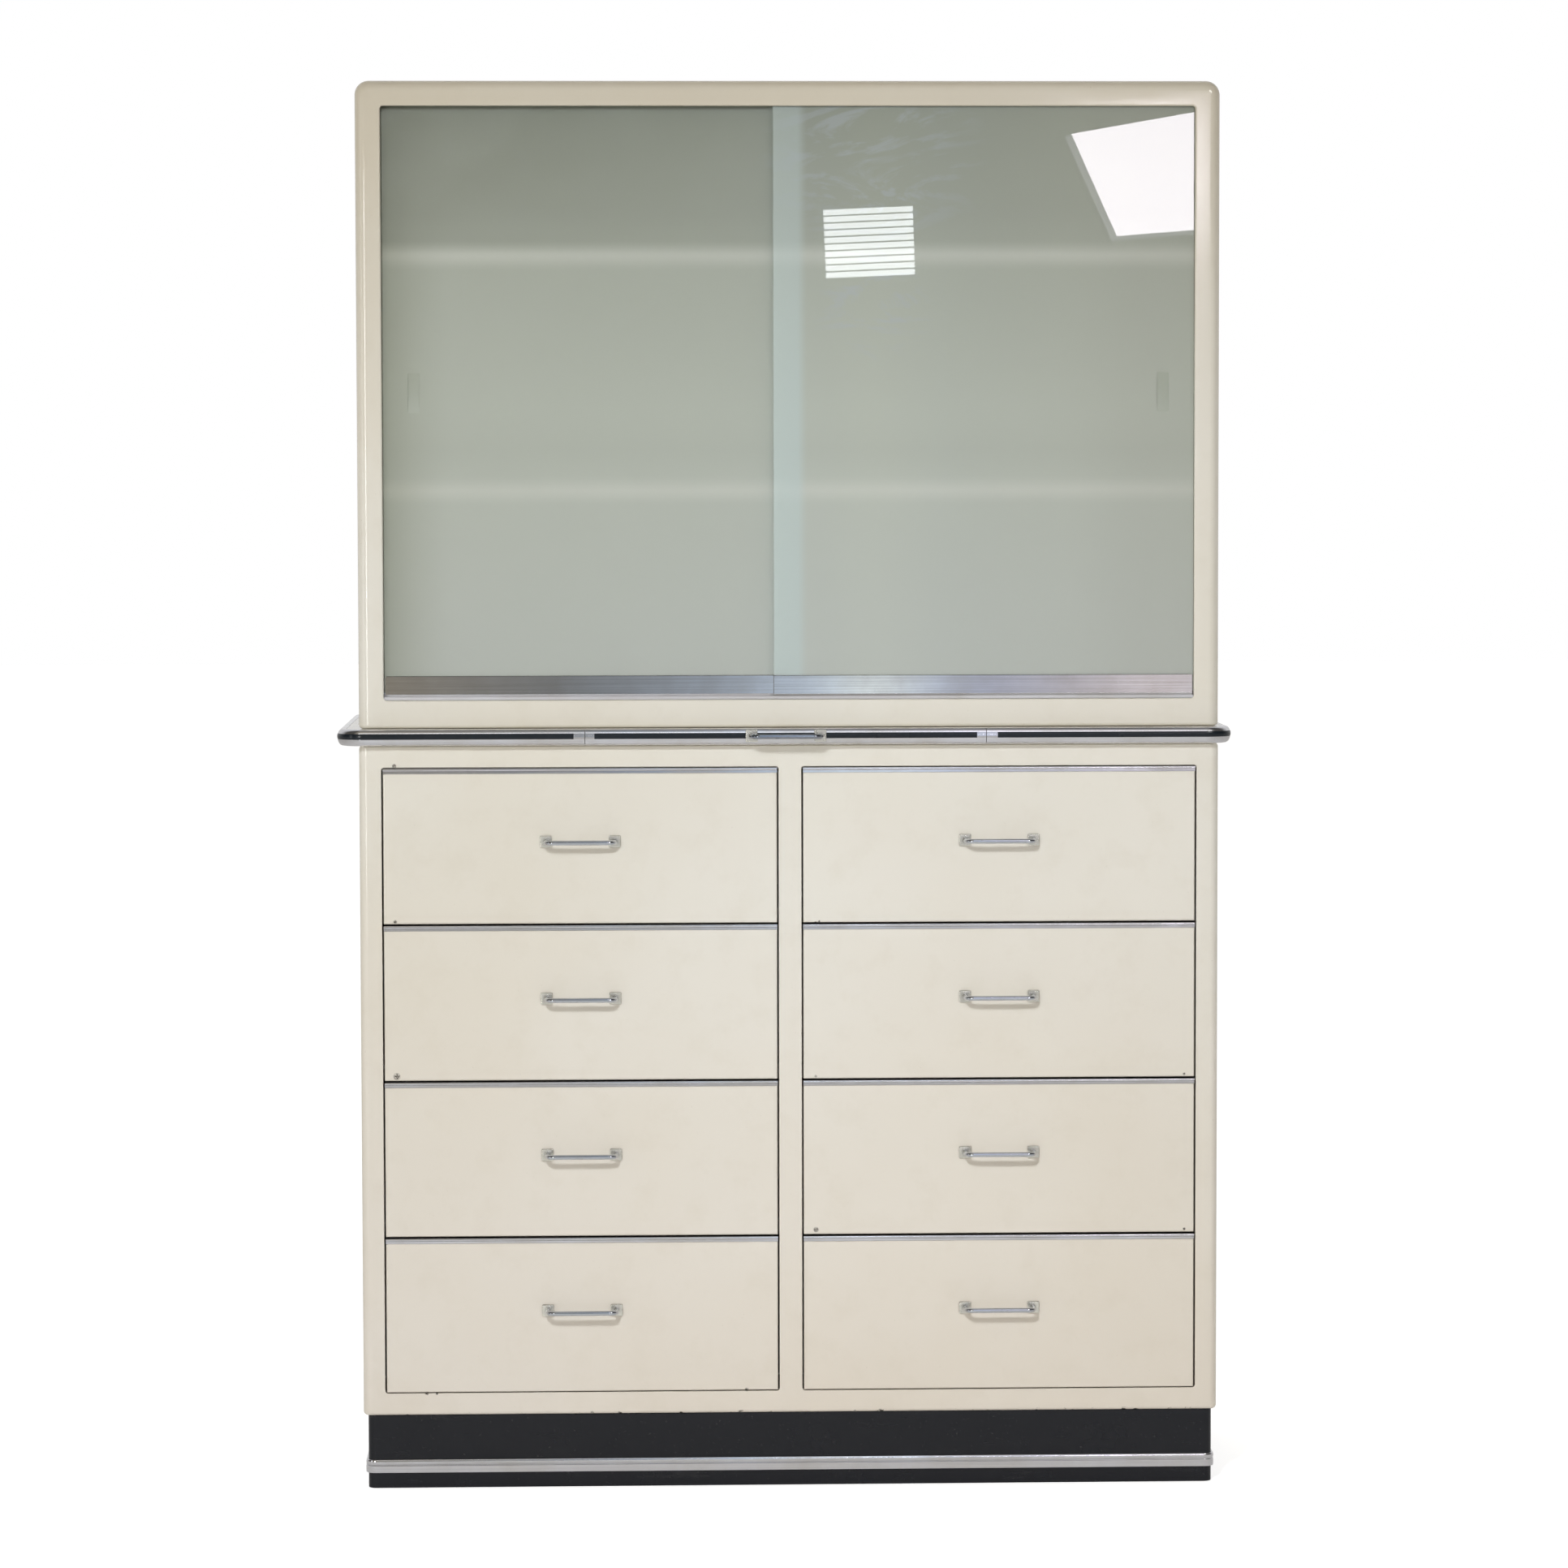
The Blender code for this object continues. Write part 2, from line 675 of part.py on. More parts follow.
def ledge_path(side, end_gap):
    """The seat of one fixed length of moulding, from the ledge's back to near its seam.

    The right length's path runs from its seam to the back, so that its right is outwards.
    """
    half = LEDGE_HALF + SEAT
    front = -LEDGE_FRONT - SEAT
    whole = wrapped_path(half, front, CASE_DEPTH - end_gap, LEDGE_RADIUS + SEAT)
    seam = side * (SLIDE_FRONT_WIDTH / 2 + end_gap)
    middle = len(whole) // 2
    if side < 0:
        return [*whole[:middle], (seam, front)]
    return [(seam, front), *whole[middle:]]


def make_moulding(side, word, body):
    """One fixed length of moulding with its groove stopped short of its ends, and its inlay."""
    name = "ledge_moulding_" + word
    mesh = soften(swept(name, moulding_profile(), ledge_path(side, 0)))
    moulding = new_piece(name, mesh, bright_aluminium, body)
    cut(moulding, swept(name + "_groove", groove_profile(), ledge_path(side, INLAY_END)))
    name = "ledge_inlay_" + word
    mesh = soften(swept(name, inlay_profile(), ledge_path(side, INLAY_END + SEAT)))
    new_piece(name, mesh, black_inlay, body)


def make_slide(body):
    """The pull-out slide: a folded board, its length of moulding with inlay, and its handle."""
    low = (-SLIDE_WIDTH / 2, 0, GUIDE_WALL + SEAT)
    high = (SLIDE_WIDTH / 2, SLIDE_DEPTH, LEDGE_HEIGHT - GUIDE_WALL - SLIDE_TOP_GAP)
    shape = box_shape(low, high)
    floor = min(shape.faces, key=lambda face: face.calc_center_median().z)
    bmesh.ops.delete(shape, geom=[floor], context="FACES")
    board = new_piece("slide_board", mesh_from(shape, "slide_board"), cream_enamel, body)
    shell_out(board, BOARD_SHEET)

    half = SLIDE_FRONT_WIDTH / 2 - SEAM
    mesh = swept("slide_moulding", moulding_profile(), [(-half, -SEAT), (half, -SEAT)])
    moulding = new_piece("slide_moulding", soften(mesh), bright_aluminium, body)
    half = half - SLIDE_INLAY_END
    groove = swept("slide_groove", groove_profile(), [(-half, -SEAT), (half, -SEAT)])
    cut(moulding, groove)
    half = half - SEAT
    mesh = swept("slide_inlay", inlay_profile(), [(-half, -SEAT), (half, -SEAT)])
    new_piece("slide_inlay", soften(mesh), black_inlay, body)


def track_bottom_outline():
    """The bottom track's section, from its front lip to its rear rib."""
    step = GROOVE + TRACK_SHEET
    points = [(0, 0), (TRACK_DEPTH, 0)]
    for place, height in ((2, REAR_RIB_HEIGHT), (1, MIDDLE_RIB_HEIGHT), (0, LIP_HEIGHT)):
        near = place * step
        points.append((near + TRACK_SHEET, TRACK_SHEET + height))
        points.append((near, TRACK_SHEET + height))
        if place:
            points.append((near, TRACK_SHEET))
            points.append((near - GROOVE, TRACK_SHEET))
    return points


def track_top_outline():
    """The top track's section: a flat strip with a pair of ribs hanging round each pane."""
    points = [(TRACK_DEPTH, 0), (0, 0), (0, -TRACK_SHEET)]
    for plane in (FRONT_DOOR_PLANE, REAR_DOOR_PLANE):
        inner = GLASS / 2 + TRACK_CLEARANCE
        for near in (plane - inner - TOP_RIB, plane + inner):
            near = near - TRACK_SETBACK
            points.append((near, -TRACK_SHEET))
            points.append((near, -TRACK_SHEET - TOP_RIB_HEIGHT))
            points.append((near + TOP_RIB, -TRACK_SHEET - TOP_RIB_HEIGHT))
            points.append((near + TOP_RIB, -TRACK_SHEET))
    points.append((TRACK_DEPTH, -TRACK_SHEET))
    return points


def make_tracks(body):
    """The aluminium tracks that the glass doors run in."""
    length = UPPER_OPENING_WIDTH - 2 * SEAT
    sill = UPPER_LEVEL + UPPER_SILL
    lintel = UPPER_LEVEL + UPPER_HEIGHT - UPPER_FRAME + TRACK_RECESS
    mesh = extruded("door_track_bottom", track_bottom_outline(), length, INTO_YZ)
    place = (0, TRACK_SETBACK, sill + SEAT)
    new_piece("door_track_bottom", mesh, bright_aluminium, body, place)
    mesh = extruded("door_track_top", track_top_outline(), length, INTO_YZ)
    place = (0, TRACK_SETBACK, lintel - SEAT)
    new_piece("door_track_top", mesh, brushed_aluminium, body, place)


def rail_outline():
    """The section of a door's bottom rail: a channel that grips the pane's lower edge."""
    half = RAIL_DEPTH / 2
    slot = GLASS / 2 + SEAT
    edge = RAIL_HEIGHT - RAIL_CHAMFER
    return [
        (-half, 0),
        (half, 0),
        (half, edge),
        (half - RAIL_CHAMFER, RAIL_HEIGHT),
        (slot, RAIL_HEIGHT),
        (slot, RAIL_WEB),
        (-slot, RAIL_WEB),
        (-slot, RAIL_HEIGHT),
        (-half + RAIL_CHAMFER, RAIL_HEIGHT),
        (-half, edge),
    ]


def finger_pull(side):
    """The cutter that grinds a finger pull into the pane's outer face: part of a wide drum."""
    radius = ((PULL_HEIGHT / 2) ** 2 + PULL_DEPTH**2) / (2 * PULL_DEPTH)
    shape = bmesh.new()
    bmesh.ops.create_cone(
        shape,
        cap_ends=True,
        segments=PULL_SIDES,
        radius1=radius,
        radius2=radius,
        depth=PULL_WIDTH,
    )
    bmesh.ops.rotate(shape, verts=shape.verts, matrix=Matrix.Rotation(math.pi / 2, 3, "Y"))
    across = side * (DOOR_WIDTH / 2 + DOOR_SIDE_GAP - PULL_INSET)
    outwards = -GLASS / 2 + PULL_DEPTH - radius
    bmesh.ops.translate(shape, verts=shape.verts, vec=(across, outwards, PULL_LEVEL))
    return mesh_from(shape, "finger_pull")


def make_glass_door(side, word, body):
    """One pane of frosted glass with its finger pull, and the rail along its foot."""
    foot = RAIL_FOOT + RAIL_WEB + SEAT
    lintel = UPPER_OPENING_HEIGHT + TRACK_RECESS - SEAT - TRACK_SHEET
    low = (-DOOR_WIDTH / 2, -GLASS / 2, foot)
    high = (DOOR_WIDTH / 2, GLASS / 2, lintel - GLASS_TOP_GAP)
    name = "glass_door_" + word
    pane = new_piece(name, box_mesh(low, high, name), frosted_glass, body)
    cut(pane, finger_pull(side))
    name = "door_rail_" + word
    mesh = extruded(name, rail_outline(), DOOR_WIDTH, INTO_YZ)
    new_piece(name, mesh, brushed_aluminium, body, (0, 0, RAIL_FOOT))


def make_shelf(name, level, body):
    """A shelf of sheet steel whose four edges are folded down."""
    half = CASE_WIDTH / 2 - SHEET - SEAT - SUPPORT_SHEET - SHELF_SIDE_GAP
    shape = box_shape((-half, 0, -SHELF_HEIGHT), (half, SHELF_DEPTH, 0))
    floor = min(shape.faces, key=lambda face: face.calc_center_median().z)
    bmesh.ops.delete(shape, geom=[floor], context="FACES")
    place = (0, UPPER_JAMB + SUPPORT_MARGIN, UPPER_LEVEL + SHEET + level)
    shelf = new_piece(name, mesh_from(shape, name), cream_enamel, body, place)
    shell_out(shelf, SHELF_SHEET)


def comb(sheet, height, levels, reach, strip, lip_place, lip_height):
    """The outline of a wall's right face with a strip standing out at each level.

    A strip's top is at its level. A lip, if it has any height, stands on it at lip_place.
    """
    points = [(sheet, 0)]
    for level in levels:
        points.append((sheet, level - strip))
        points.append((reach, level - strip))
        points.append((reach, level))
        if lip_height:
            points.append((lip_place, level))
            points.append((lip_place, level + lip_height))
            points.append((lip_place - strip, level + lip_height))
            points.append((lip_place - strip, level))
        points.append((sheet, level))
    points.append((sheet, height))
    return points


def mirrored(points):
    """The points on the other side of x = 0, taken backwards."""
    return [(-x, y) for x, y in reversed(points)]


def wall_outline(points, side, height):
    """Closes a comb along the wall's straight face, for the left or the right of the case."""
    outline = [*points, (0, height), (0, 0)]
    if side > 0:
        return mirrored(outline)
    return outline


def window_cutter(levels, height):
    """The windows between a shelf support's two uprights, over and under its strips."""
    windows = bmesh.new()
    through = SUPPORT_SHEET + BEYOND
    feet = [0.0, *levels]
    heads = [level - SUPPORT_SHEET for level in levels] + [height]
    for foot, head in zip(feet, heads):
        low = (-through, UPRIGHT, foot + UPRIGHT / 2)
        high = (through, SHELF_DEPTH - UPRIGHT, head - UPRIGHT / 2)
        window = box_mesh(low, high)
        windows.from_mesh(window)
        bpy.data.meshes.remove(window)
    return mesh_from(windows, "windows")


def make_shelf_support(side, word, body):
    """The frame on one side wall that carries the ends of both shelves."""
    name = "shelf_support_" + word
    foot = CASE_FOOT_RADIUS
    height = UPPER_HEIGHT - UPPER_CORNER_RADIUS - foot
    levels = [SHEET + level - SHELF_HEIGHT - SEAT - foot for level in SHELF_LEVELS]
    points = comb(SUPPORT_SHEET, height, levels, SUPPORT_REACH, SUPPORT_SHEET, 0, 0)
    mesh = extruded(name, wall_outline(points, side, height), SHELF_DEPTH, INTO_XZ)
    mesh.transform(Matrix.Translation((0, SHELF_DEPTH / 2, 0)))
    wall = side * (CASE_WIDTH / 2 - SHEET - SEAT)
    place = (wall, UPPER_JAMB + SUPPORT_MARGIN, UPPER_LEVEL + foot)
    support = new_piece(name, mesh, zinc_steel, body, place)
    cut(support, window_cutter(levels, height))


def runner_levels(foot):
    """The height of each runner's top over the foot of what carries it in the lower case."""
    return [LOWER_RAIL + row * PITCH + TRAY_LEVEL - SEAT - foot for row in range(ROWS)]


def runner_depth():
    """The length of the runners, from behind the opening's flange to the back fold."""
    return CASE_DEPTH - SHEET - LOWER_JAMB - 2 * RUNNER_START


def make_runner_rack(side, word, body):
    """The sheet on one side wall with a runner for each drawer of its column."""
    name = "runner_rack_" + word
    foot = CASE_FOOT_RADIUS
    height = LOWER_HEIGHT - 2 * foot
    levels = runner_levels(foot)
    to_tray = LOWER_STILE + TRAY_SIDE_GAP - SHEET - SEAT
    reach = to_tray + RUNNER_UNDER
    lip_place = to_tray - RUNNER_SIDE_GAP
    points = comb(RUNNER_SHEET, height, levels, reach, RUNNER_SHEET, lip_place, RUNNER_LIP)
    depth = runner_depth()
    mesh = extruded(name, wall_outline(points, side, height), depth, INTO_XZ)
    mesh.transform(Matrix.Translation((0, depth / 2, 0)))
    wall = side * (CASE_WIDTH / 2 - SHEET - SEAT)
    place = (wall, LOWER_JAMB + RUNNER_START, LOWER_LEVEL + foot)
    new_piece(name, mesh, zinc_steel, body, place)


def make_centre_partition(body):
    """The wall between the two columns of drawers, with the inner runners on both sides."""
    name = "centre_partition"
    foot = SHEET + SEAT
    height = LOWER_HEIGHT - 2 * foot
    half = SHEET / 2
    to_tray = CENTRE_POST / 2 + TRAY_SIDE_GAP
    reach = to_tray + RUNNER_UNDER
    lip_place = to_tray - RUNNER_SIDE_GAP
    levels = runner_levels(foot)
    points = comb(half, height, levels, reach, RUNNER_SHEET, lip_place, RUNNER_LIP)
    depth = runner_depth()
    mesh = extruded(name, [*points, *mirrored(points)], depth, INTO_XZ)
    mesh.transform(Matrix.Translation((0, depth / 2, 0)))
    place = (0, LOWER_JAMB + RUNNER_START, LOWER_LEVEL + foot)
    new_piece(name, mesh, zinc_steel, body, place)


def drawer_front_mesh():
    """A drawer's front: a pan of sheet folded back all round, open behind."""
    half = COLUMN_WIDTH / 2 - DRAWER_GAP
    foot = DRAWER_GAP / 2
    top = PITCH - DRAWER_GAP / 2 - STRIP_SHEET - SEAT
    shape = box_shape((-half, 0, foot), (half, FRONT_DEPTH, top))
    largest = FRONT_FACE_RADIUS
    mark_round(shape, 2, FRONT_FACE_RADIUS, largest, y=-1)
    mark_round(shape, 0, FRONT_FACE_RADIUS, largest, y=-1)
    mark_round(shape, 1, FRONT_FACE_RADIUS, largest, z=-1)
    pan = new_piece("drawer_front", mesh_from(shape, "drawer_front"), cream_enamel, None)
    round_marked(pan, largest, SMALL_ROUND_STEPS)
    shell_out(pan, FRONT_SHEET)
    low = (-half + FRONT_RIM, FRONT_DEPTH - FRONT_SHEET - BEYOND, foot + FRONT_RIM)
    high = (half - FRONT_RIM, FRONT_DEPTH + BEYOND, top - FRONT_RIM)
    cut(pan, box_mesh(low, high))
    return baked(pan)


def strip_mesh():
    """The aluminium strip along a drawer front's top edge, rounded above and flat below."""
    back = -SEAT
    face = back - STRIP_SHEET
    step = -STRIP_HEIGHT / 2
    outline = [
        (STRIP_TOP_DEPTH, 0),
        (STRIP_TOP_DEPTH, -STRIP_SHEET),
        (back, -STRIP_SHEET),
        (back, -STRIP_HEIGHT),
        (face, -STRIP_HEIGHT),
    ]
    for x, y in arc((0, 0), 1.0, -90, 90, PROFILE_STEPS):
        outline.append((face - STRIP_BULGE * x, step * (1 - y) / 2))
    mesh = extruded("drawer_strip", outline, COLUMN_WIDTH - 2 * DRAWER_GAP, INTO_YZ)
    return soften(mesh)


def tray_mesh():
    """A drawer's tray: sheet steel, open above, with a hem folded inwards round its rim."""
    half = TRAY_WIDTH / 2
    shape = box_shape((-half, 0, 0), (half, TRAY_DEPTH, TRAY_HEIGHT))
    lid = max(shape.faces, key=lambda face: face.calc_center_median().z)
    bmesh.ops.inset_region(shape, faces=[lid], thickness=TRAY_HEM, use_even_offset=True)
    bmesh.ops.delete(shape, geom=[lid], context="FACES")
    mark_round(shape, 0, TRAY_RADIUS, TRAY_RADIUS, z=-1)
    mark_round(shape, 1, TRAY_RADIUS, TRAY_RADIUS, z=-1)
    tray = new_piece("drawer_tray", mesh_from(shape, "drawer_tray"), tray_enamel, None)
    round_marked(tray, TRAY_RADIUS, SMALL_ROUND_STEPS)
    shell_out(tray, TRAY_SHEET)
    return baked(tray)


def edge_in_front(edge):
    """Whether an edge of a handle's plate lies on its outer face."""
    return all(vertex.co.y < -PLATE_THICKNESS / 2 for vertex in edge.verts)


def handle_mesh():
    """A bar handle: a chromed rod bent back at both ends into square plates."""
    half = HANDLE_SPAN / 2
    bend = HANDLE_BEND
    front = -HANDLE_REACH
    left = arc((-half + bend, front + bend), bend, 180, 270, BEND_STEPS)
    right = arc((half - bend, front + bend), bend, 270, 360, BEND_STEPS)
    path = [(-half, -BAR_IN_PLATE), *left, *right, (half, -BAR_IN_PLATE)]
    curve = bpy.data.curves.new("handle_bar", "CURVE")
    curve.dimensions = "3D"
    curve.bevel_depth = HANDLE_BAR / 2
    curve.bevel_resolution = 2
    curve.use_fill_caps = True
    add_line(curve, path, False)
    bar = weld(baked(curve_object(curve)))
    handle = new_piece("handle", bar, chrome, None)
    for side in (-1, 1):
        middle = side * half
        shape = box_shape(
            (middle - PLATE / 2, -PLATE_THICKNESS, -PLATE / 2), (middle + PLATE / 2, 0, PLATE / 2)
        )
        rim = [edge for edge in shape.edges if edge_in_front(edge)]
        bmesh.ops.bevel(
            shape, geom=rim, offset=PLATE_CHAMFER, segments=1, profile=0.5, affect="EDGES"
        )
        join(handle, mesh_from(shape, "handle_plate"))
    return soften(baked(handle))


def make_drawer(name, meshes, at, frame):
    """One drawer: front, tray, strip and handle on a body that slides forwards."""
    body = new_body(name, at, frame)
    new_piece(name + "_front", meshes["front"], cream_enamel, body)
    tray_place = (0, FRONT_DEPTH + SEAT, TRAY_LEVEL)
    new_piece(name + "_tray", meshes["tray"], tray_enamel, body, tray_place)
    strip_place = (0, 0, PITCH - DRAWER_GAP / 2)
    new_piece(name + "_strip", meshes["strip"], bright_aluminium, body, strip_place)
    handle_place = (0, -SEAT, HANDLE_LEVEL)
    new_piece(name + "_handle", meshes["handle"], chrome, body, handle_place)


def make_drawers(frame, handle):
    """The two columns of drawers, numbered from the top."""
    meshes = {
        "front": drawer_front_mesh(),
        "tray": tray_mesh(),
        "strip": strip_mesh(),
        "handle": handle,
    }
    for side, word in ((-1, "left"), (1, "right")):
        for row in range(ROWS):
            name = f"drawer_{word}_{ROWS - row}"
            foot = LOWER_LEVEL + LOWER_RAIL + row * PITCH
            make_drawer(name, meshes, (side * COLUMN_MIDDLE, 0, foot), frame)


def make_doors(frame):
    """The left door runs behind the right one."""
    sill = UPPER_LEVEL + UPPER_SILL
    middle = (UPPER_OPENING_WIDTH - DOOR_WIDTH) / 2 - DOOR_SIDE_GAP
    for side, word, plane in ((-1, "left", REAR_DOOR_PLANE), (1, "right", FRONT_DOOR_PLANE)):
        body = new_body("door_" + word, (side * middle, plane, sill), frame)
        make_glass_door(side, word, body)


def make_ledge(frame, handle):
    """The ledge with its mouldings, and the slide in it."""
    ledge = new_body("ledge", (-CASE_SHIFT, 0, LEDGE_LEVEL), frame)
    make_ledge_body(ledge)
    for side, word in ((-1, "left"), (1, "right")):
        make_moulding(side, word, ledge)
    slide = new_body("slide", (0, -LEDGE_FRONT, 0), ledge)
    make_slide(slide)
    face = -SEAT - MOULDING_DEPTH - INLAY_CROWN
    middle = INLAY_LEVEL + INLAY_HEIGHT / 2
    new_piece("slide_handle", handle, chrome, slide, (0, face - SEAT, middle))


def build():
    """Builds the whole cabinet."""
    frame = new_body("cabinet", (CASE_SHIFT, FRONT_PLANE, 0))
    make_plinth(frame)
    make_plinth_trim(frame)
    make_lower_case(frame)
    make_upper_case(frame)
    make_back_panel("lower_back_panel", LOWER_HEIGHT, LOWER_LEVEL, frame)
    make_back_panel("upper_back_panel", UPPER_HEIGHT, UPPER_LEVEL, frame)
    make_centre_partition(frame)
    make_tracks(frame)
    for name, level in zip(("shelf_lower", "shelf_upper"), SHELF_LEVELS):
        make_shelf(name, level, frame)
    for side, word in ((-1, "left"), (1, "right")):
        make_runner_rack(side, word, frame)
        make_shelf_support(side, word, frame)
    handle = handle_mesh()
    make_ledge(frame, handle)
    make_doors(frame)
    make_drawers(frame, handle)


build()
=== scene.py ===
"""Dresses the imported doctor's cabinet: finer sheet-metal forms, finishes, light and camera.

Lengths are in metres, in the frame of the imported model. The front faces -Y and Z points up.
"""

import json
import math

import bmesh
import bpy
from mathutils import Matrix, Vector


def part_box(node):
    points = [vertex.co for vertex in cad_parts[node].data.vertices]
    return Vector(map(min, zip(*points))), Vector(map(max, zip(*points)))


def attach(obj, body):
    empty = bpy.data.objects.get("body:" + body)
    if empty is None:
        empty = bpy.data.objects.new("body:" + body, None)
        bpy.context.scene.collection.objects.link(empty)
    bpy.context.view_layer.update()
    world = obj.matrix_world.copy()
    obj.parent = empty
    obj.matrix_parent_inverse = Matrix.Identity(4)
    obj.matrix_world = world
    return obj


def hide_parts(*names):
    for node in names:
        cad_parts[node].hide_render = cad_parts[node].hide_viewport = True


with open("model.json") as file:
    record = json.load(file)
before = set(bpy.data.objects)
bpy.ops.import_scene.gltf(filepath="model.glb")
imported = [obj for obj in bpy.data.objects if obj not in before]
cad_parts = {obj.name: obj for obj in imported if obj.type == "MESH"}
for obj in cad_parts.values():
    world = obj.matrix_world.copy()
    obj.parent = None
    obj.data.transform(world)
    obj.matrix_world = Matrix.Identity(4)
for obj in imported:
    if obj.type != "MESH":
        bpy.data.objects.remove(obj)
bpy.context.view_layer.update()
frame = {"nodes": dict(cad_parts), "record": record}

# Camera: its turns are in degrees and its lens and sensor in millimetres
CAMERA_PLACE = (-0.224, -7.0, 1.370)
CAMERA_TURNS = (1.865, 3.483, -0.118)  # to the right, down and about its own axis
CAMERA_LENS = 116.45
CAMERA_SENSOR = 36.0
CAMERA_CLIP = 100.0
PHOTO_WIDTH = 1932

# Sheet metal
SHEET = 0.0015
FOLD = 0.0035  # thickness shown at the upper opening's rolled edge
SEAT = 0.0003  # gap between pieces that rest on each other
TIGHT = 0.001  # corner radius of folds out of sight
SMALLEST_RADIUS = 0.0002
UPPER_CORNER = 0.019
UPPER_FRONT = 0.014
LOWER_FRONT = 0.011
LOWER_TOP = 0.003  # rounding along the top of the lower case's front
CASE_FOOT = 0.005
UPPER_FRAME = 0.034
UPPER_SILL = 0.0375
UPPER_JAMB = 0.040
OPENING_LIP = 0.004
OPENING_ROLL = 0.0025
OPENING_CORNER = 0.004
TRACK_RECESS = 0.016
LOWER_FRAME = 0.030
LOWER_JAMB = 0.020
LOWER_ROLL = 0.0012
LOWER_CORNER = 0.004
LOWER_FOLD_CORNER = 0.005
CUT_AHEAD = 0.003  # how far a cutter reaches before the lower case's front, and behind it
CUT_BEHIND = 0.010
CENTRE_POST = 0.031
BACK_RIM = 0.020
REAR_ROUND = 0.0015

# Drawers
FACE_ROUND = 0.0025
FACE_TOP_SHARE = 0.4  # how round a front's top edge is, beside its others
FACE_CORNERS = (0.0012, 0.0008)
FRONT_SHEET = 0.0012
FRONT_RIM = 0.020
RIM_CORNER = 0.003
STRIP_SHEET = 0.0013
STRIP_BULGE = 0.0009
STRIP_HEIGHT = 0.007
STRIP_EASE = 0.0002
STRIP_STEP = 0.0003

# Handles
HANDLE_SPAN = 0.0925
HANDLE_BAR = 0.0065
HANDLE_REACH = 0.02798  # from the face that it is screwed to, forwards to the bar's middle
HANDLE_BEND = 0.010
ROD_ROOT = 0.001  # how far ahead of that face the rod begins, inside its plates
ROD_SIDES = 32
PLATE = 0.016
PLATE_THICKNESS = 0.003
PLATE_CORNER = 0.0012
PLATE_ROUND = 0.0010

# Ledge and plinth
MOULDING_DEPTH = 0.012
MOULDING_TOP_EDGE = 0.0025
MOULDING_WIDEST = 0.012
UPPER_FULLNESS = 0.60
LOWER_FULLNESS = 0.70
INLAY_LEVEL = 0.009
INLAY_HEIGHT = 0.0075
INLAY_DEPTH = 0.003
INLAY_CROWN = 0.0004
INLAY_SHOULDER = 0.0010
INLAY_FULLNESS = 0.6
INLAY_GAP = 0.0001
INLAY_END = 0.0148
SLIDE_INLAY_END = 0.0122
LEDGE_CORNER = 0.036
PLINTH_CORNER = 0.011
PLINTH_REAR_CORNER = 0.003
PLINTH_FLANGE = 0.030
PLINTH_SHEET = 0.002
PLINTH_TOP_ROUND = 0.0015
PLINTH_FOOT_ROUND = 0.0006
TRIM_DEPTH = 0.003
TRIM_UPPER_SHARE = 0.42
TRIM_LINE = 0.0008
TRIM_STEP = 0.0013
TRIM_EDGE = 0.0009
TRIM_EASE = 0.0003
LOWER_FOOT = 0.1003  # height of the lower case's foot over the floor
LEDGE_LEVEL = 1.0086  # height of the ledge's underside
SLIDE_BAND = 0.98  # handles above this height are on the slide
DRAWER_PLATES = -0.1867  # the handles' plates lie behind this depth on the drawers
SLIDE_PLATES = -0.2104  # and behind this one on the slide

# Steps in rounded forms
CORNER_STEPS = 12
CURVE_STEPS = 16
ROLL_STEPS = 8
EASE_STEPS = 5
REAR_STEPS = 4
LEDGE_STEPS = 24
PULL_STEPS = 64
WELD = 1e-6
SHARP_ANGLE = math.radians(35)
MITRE_LIMIT = 0.2

# Doors
DOOR_SIDE_GAP = 0.0015
PULL_WIDTH = 0.016
PULL_HEIGHT = 0.054
PULL_DEPTH = 0.002
PULL_LEVEL = 0.412  # over the bottom track's foot
PULL_INSET = 0.042
PULL_CUT = 0.002  # how far a pull's cutter stands before the glass
PANE_EASE = 0.0003
PANE_CORNER = 0.0004
PANE_REACH = 0.0012  # how much nearer to the jamb a pane's outer edge comes than its rail's end
TRACK_BAND = (1.0700, 0.0062)  # middle and half height of the bottom track, which is matt
SHELF_LINES = (1.350, 1.664)  # heights of the pale lines painted where the shelves show through the glass
OVERLAP = (-0.0149, 0.016, 0.032)  # where the painted light of the doors' overlap begins, pales and ends

# Backs: how far the screw heads stand over the panels, and a head's radii and share of that
SCREW_STANDS = 0.0007
SCREW_HEAD = ((0.0045, 0.0), (0.0044, 0.3), (0.0038, 0.6), (0.0026, 0.9), (0.0010, 1.0))
SCREW_SIDES = 16
SCREW_COLUMNS = 7
SCREW_ROWS = 3  # up each side, between those along the top and the foot
SCREW_INSET = (0.010, 0.008)  # from a panel's side, and from its top or foot
PANEL_EDGE = 0.0002
PANEL_CORNER = 0.003

# Light
ROOM_LEVEL = 1.2
ROOM_CEILING = 0.12
ROOM_BEHIND = 0.75
ROOM_WARMTH = (1.06, 1.0, 0.88, 1.0)  # the tint of what lights the cabinet
ROOM_DARK_SIDES = (0.055, 0.052, 0.050, 1.0)  # what lies far to the sides, as its mirrors see it
ROOM_SIDES = (0.45, 1.2)  # where those sides begin and where they are darkest
ROOM_SIDES_SHARE = 0.88
CEILING_LIT = (0.60, 0.92)  # where the dark ceiling begins and ends, for what lights the cabinet
CEILING_MIRRORED = (0.93, 0.985)  # and as its mirrors see it
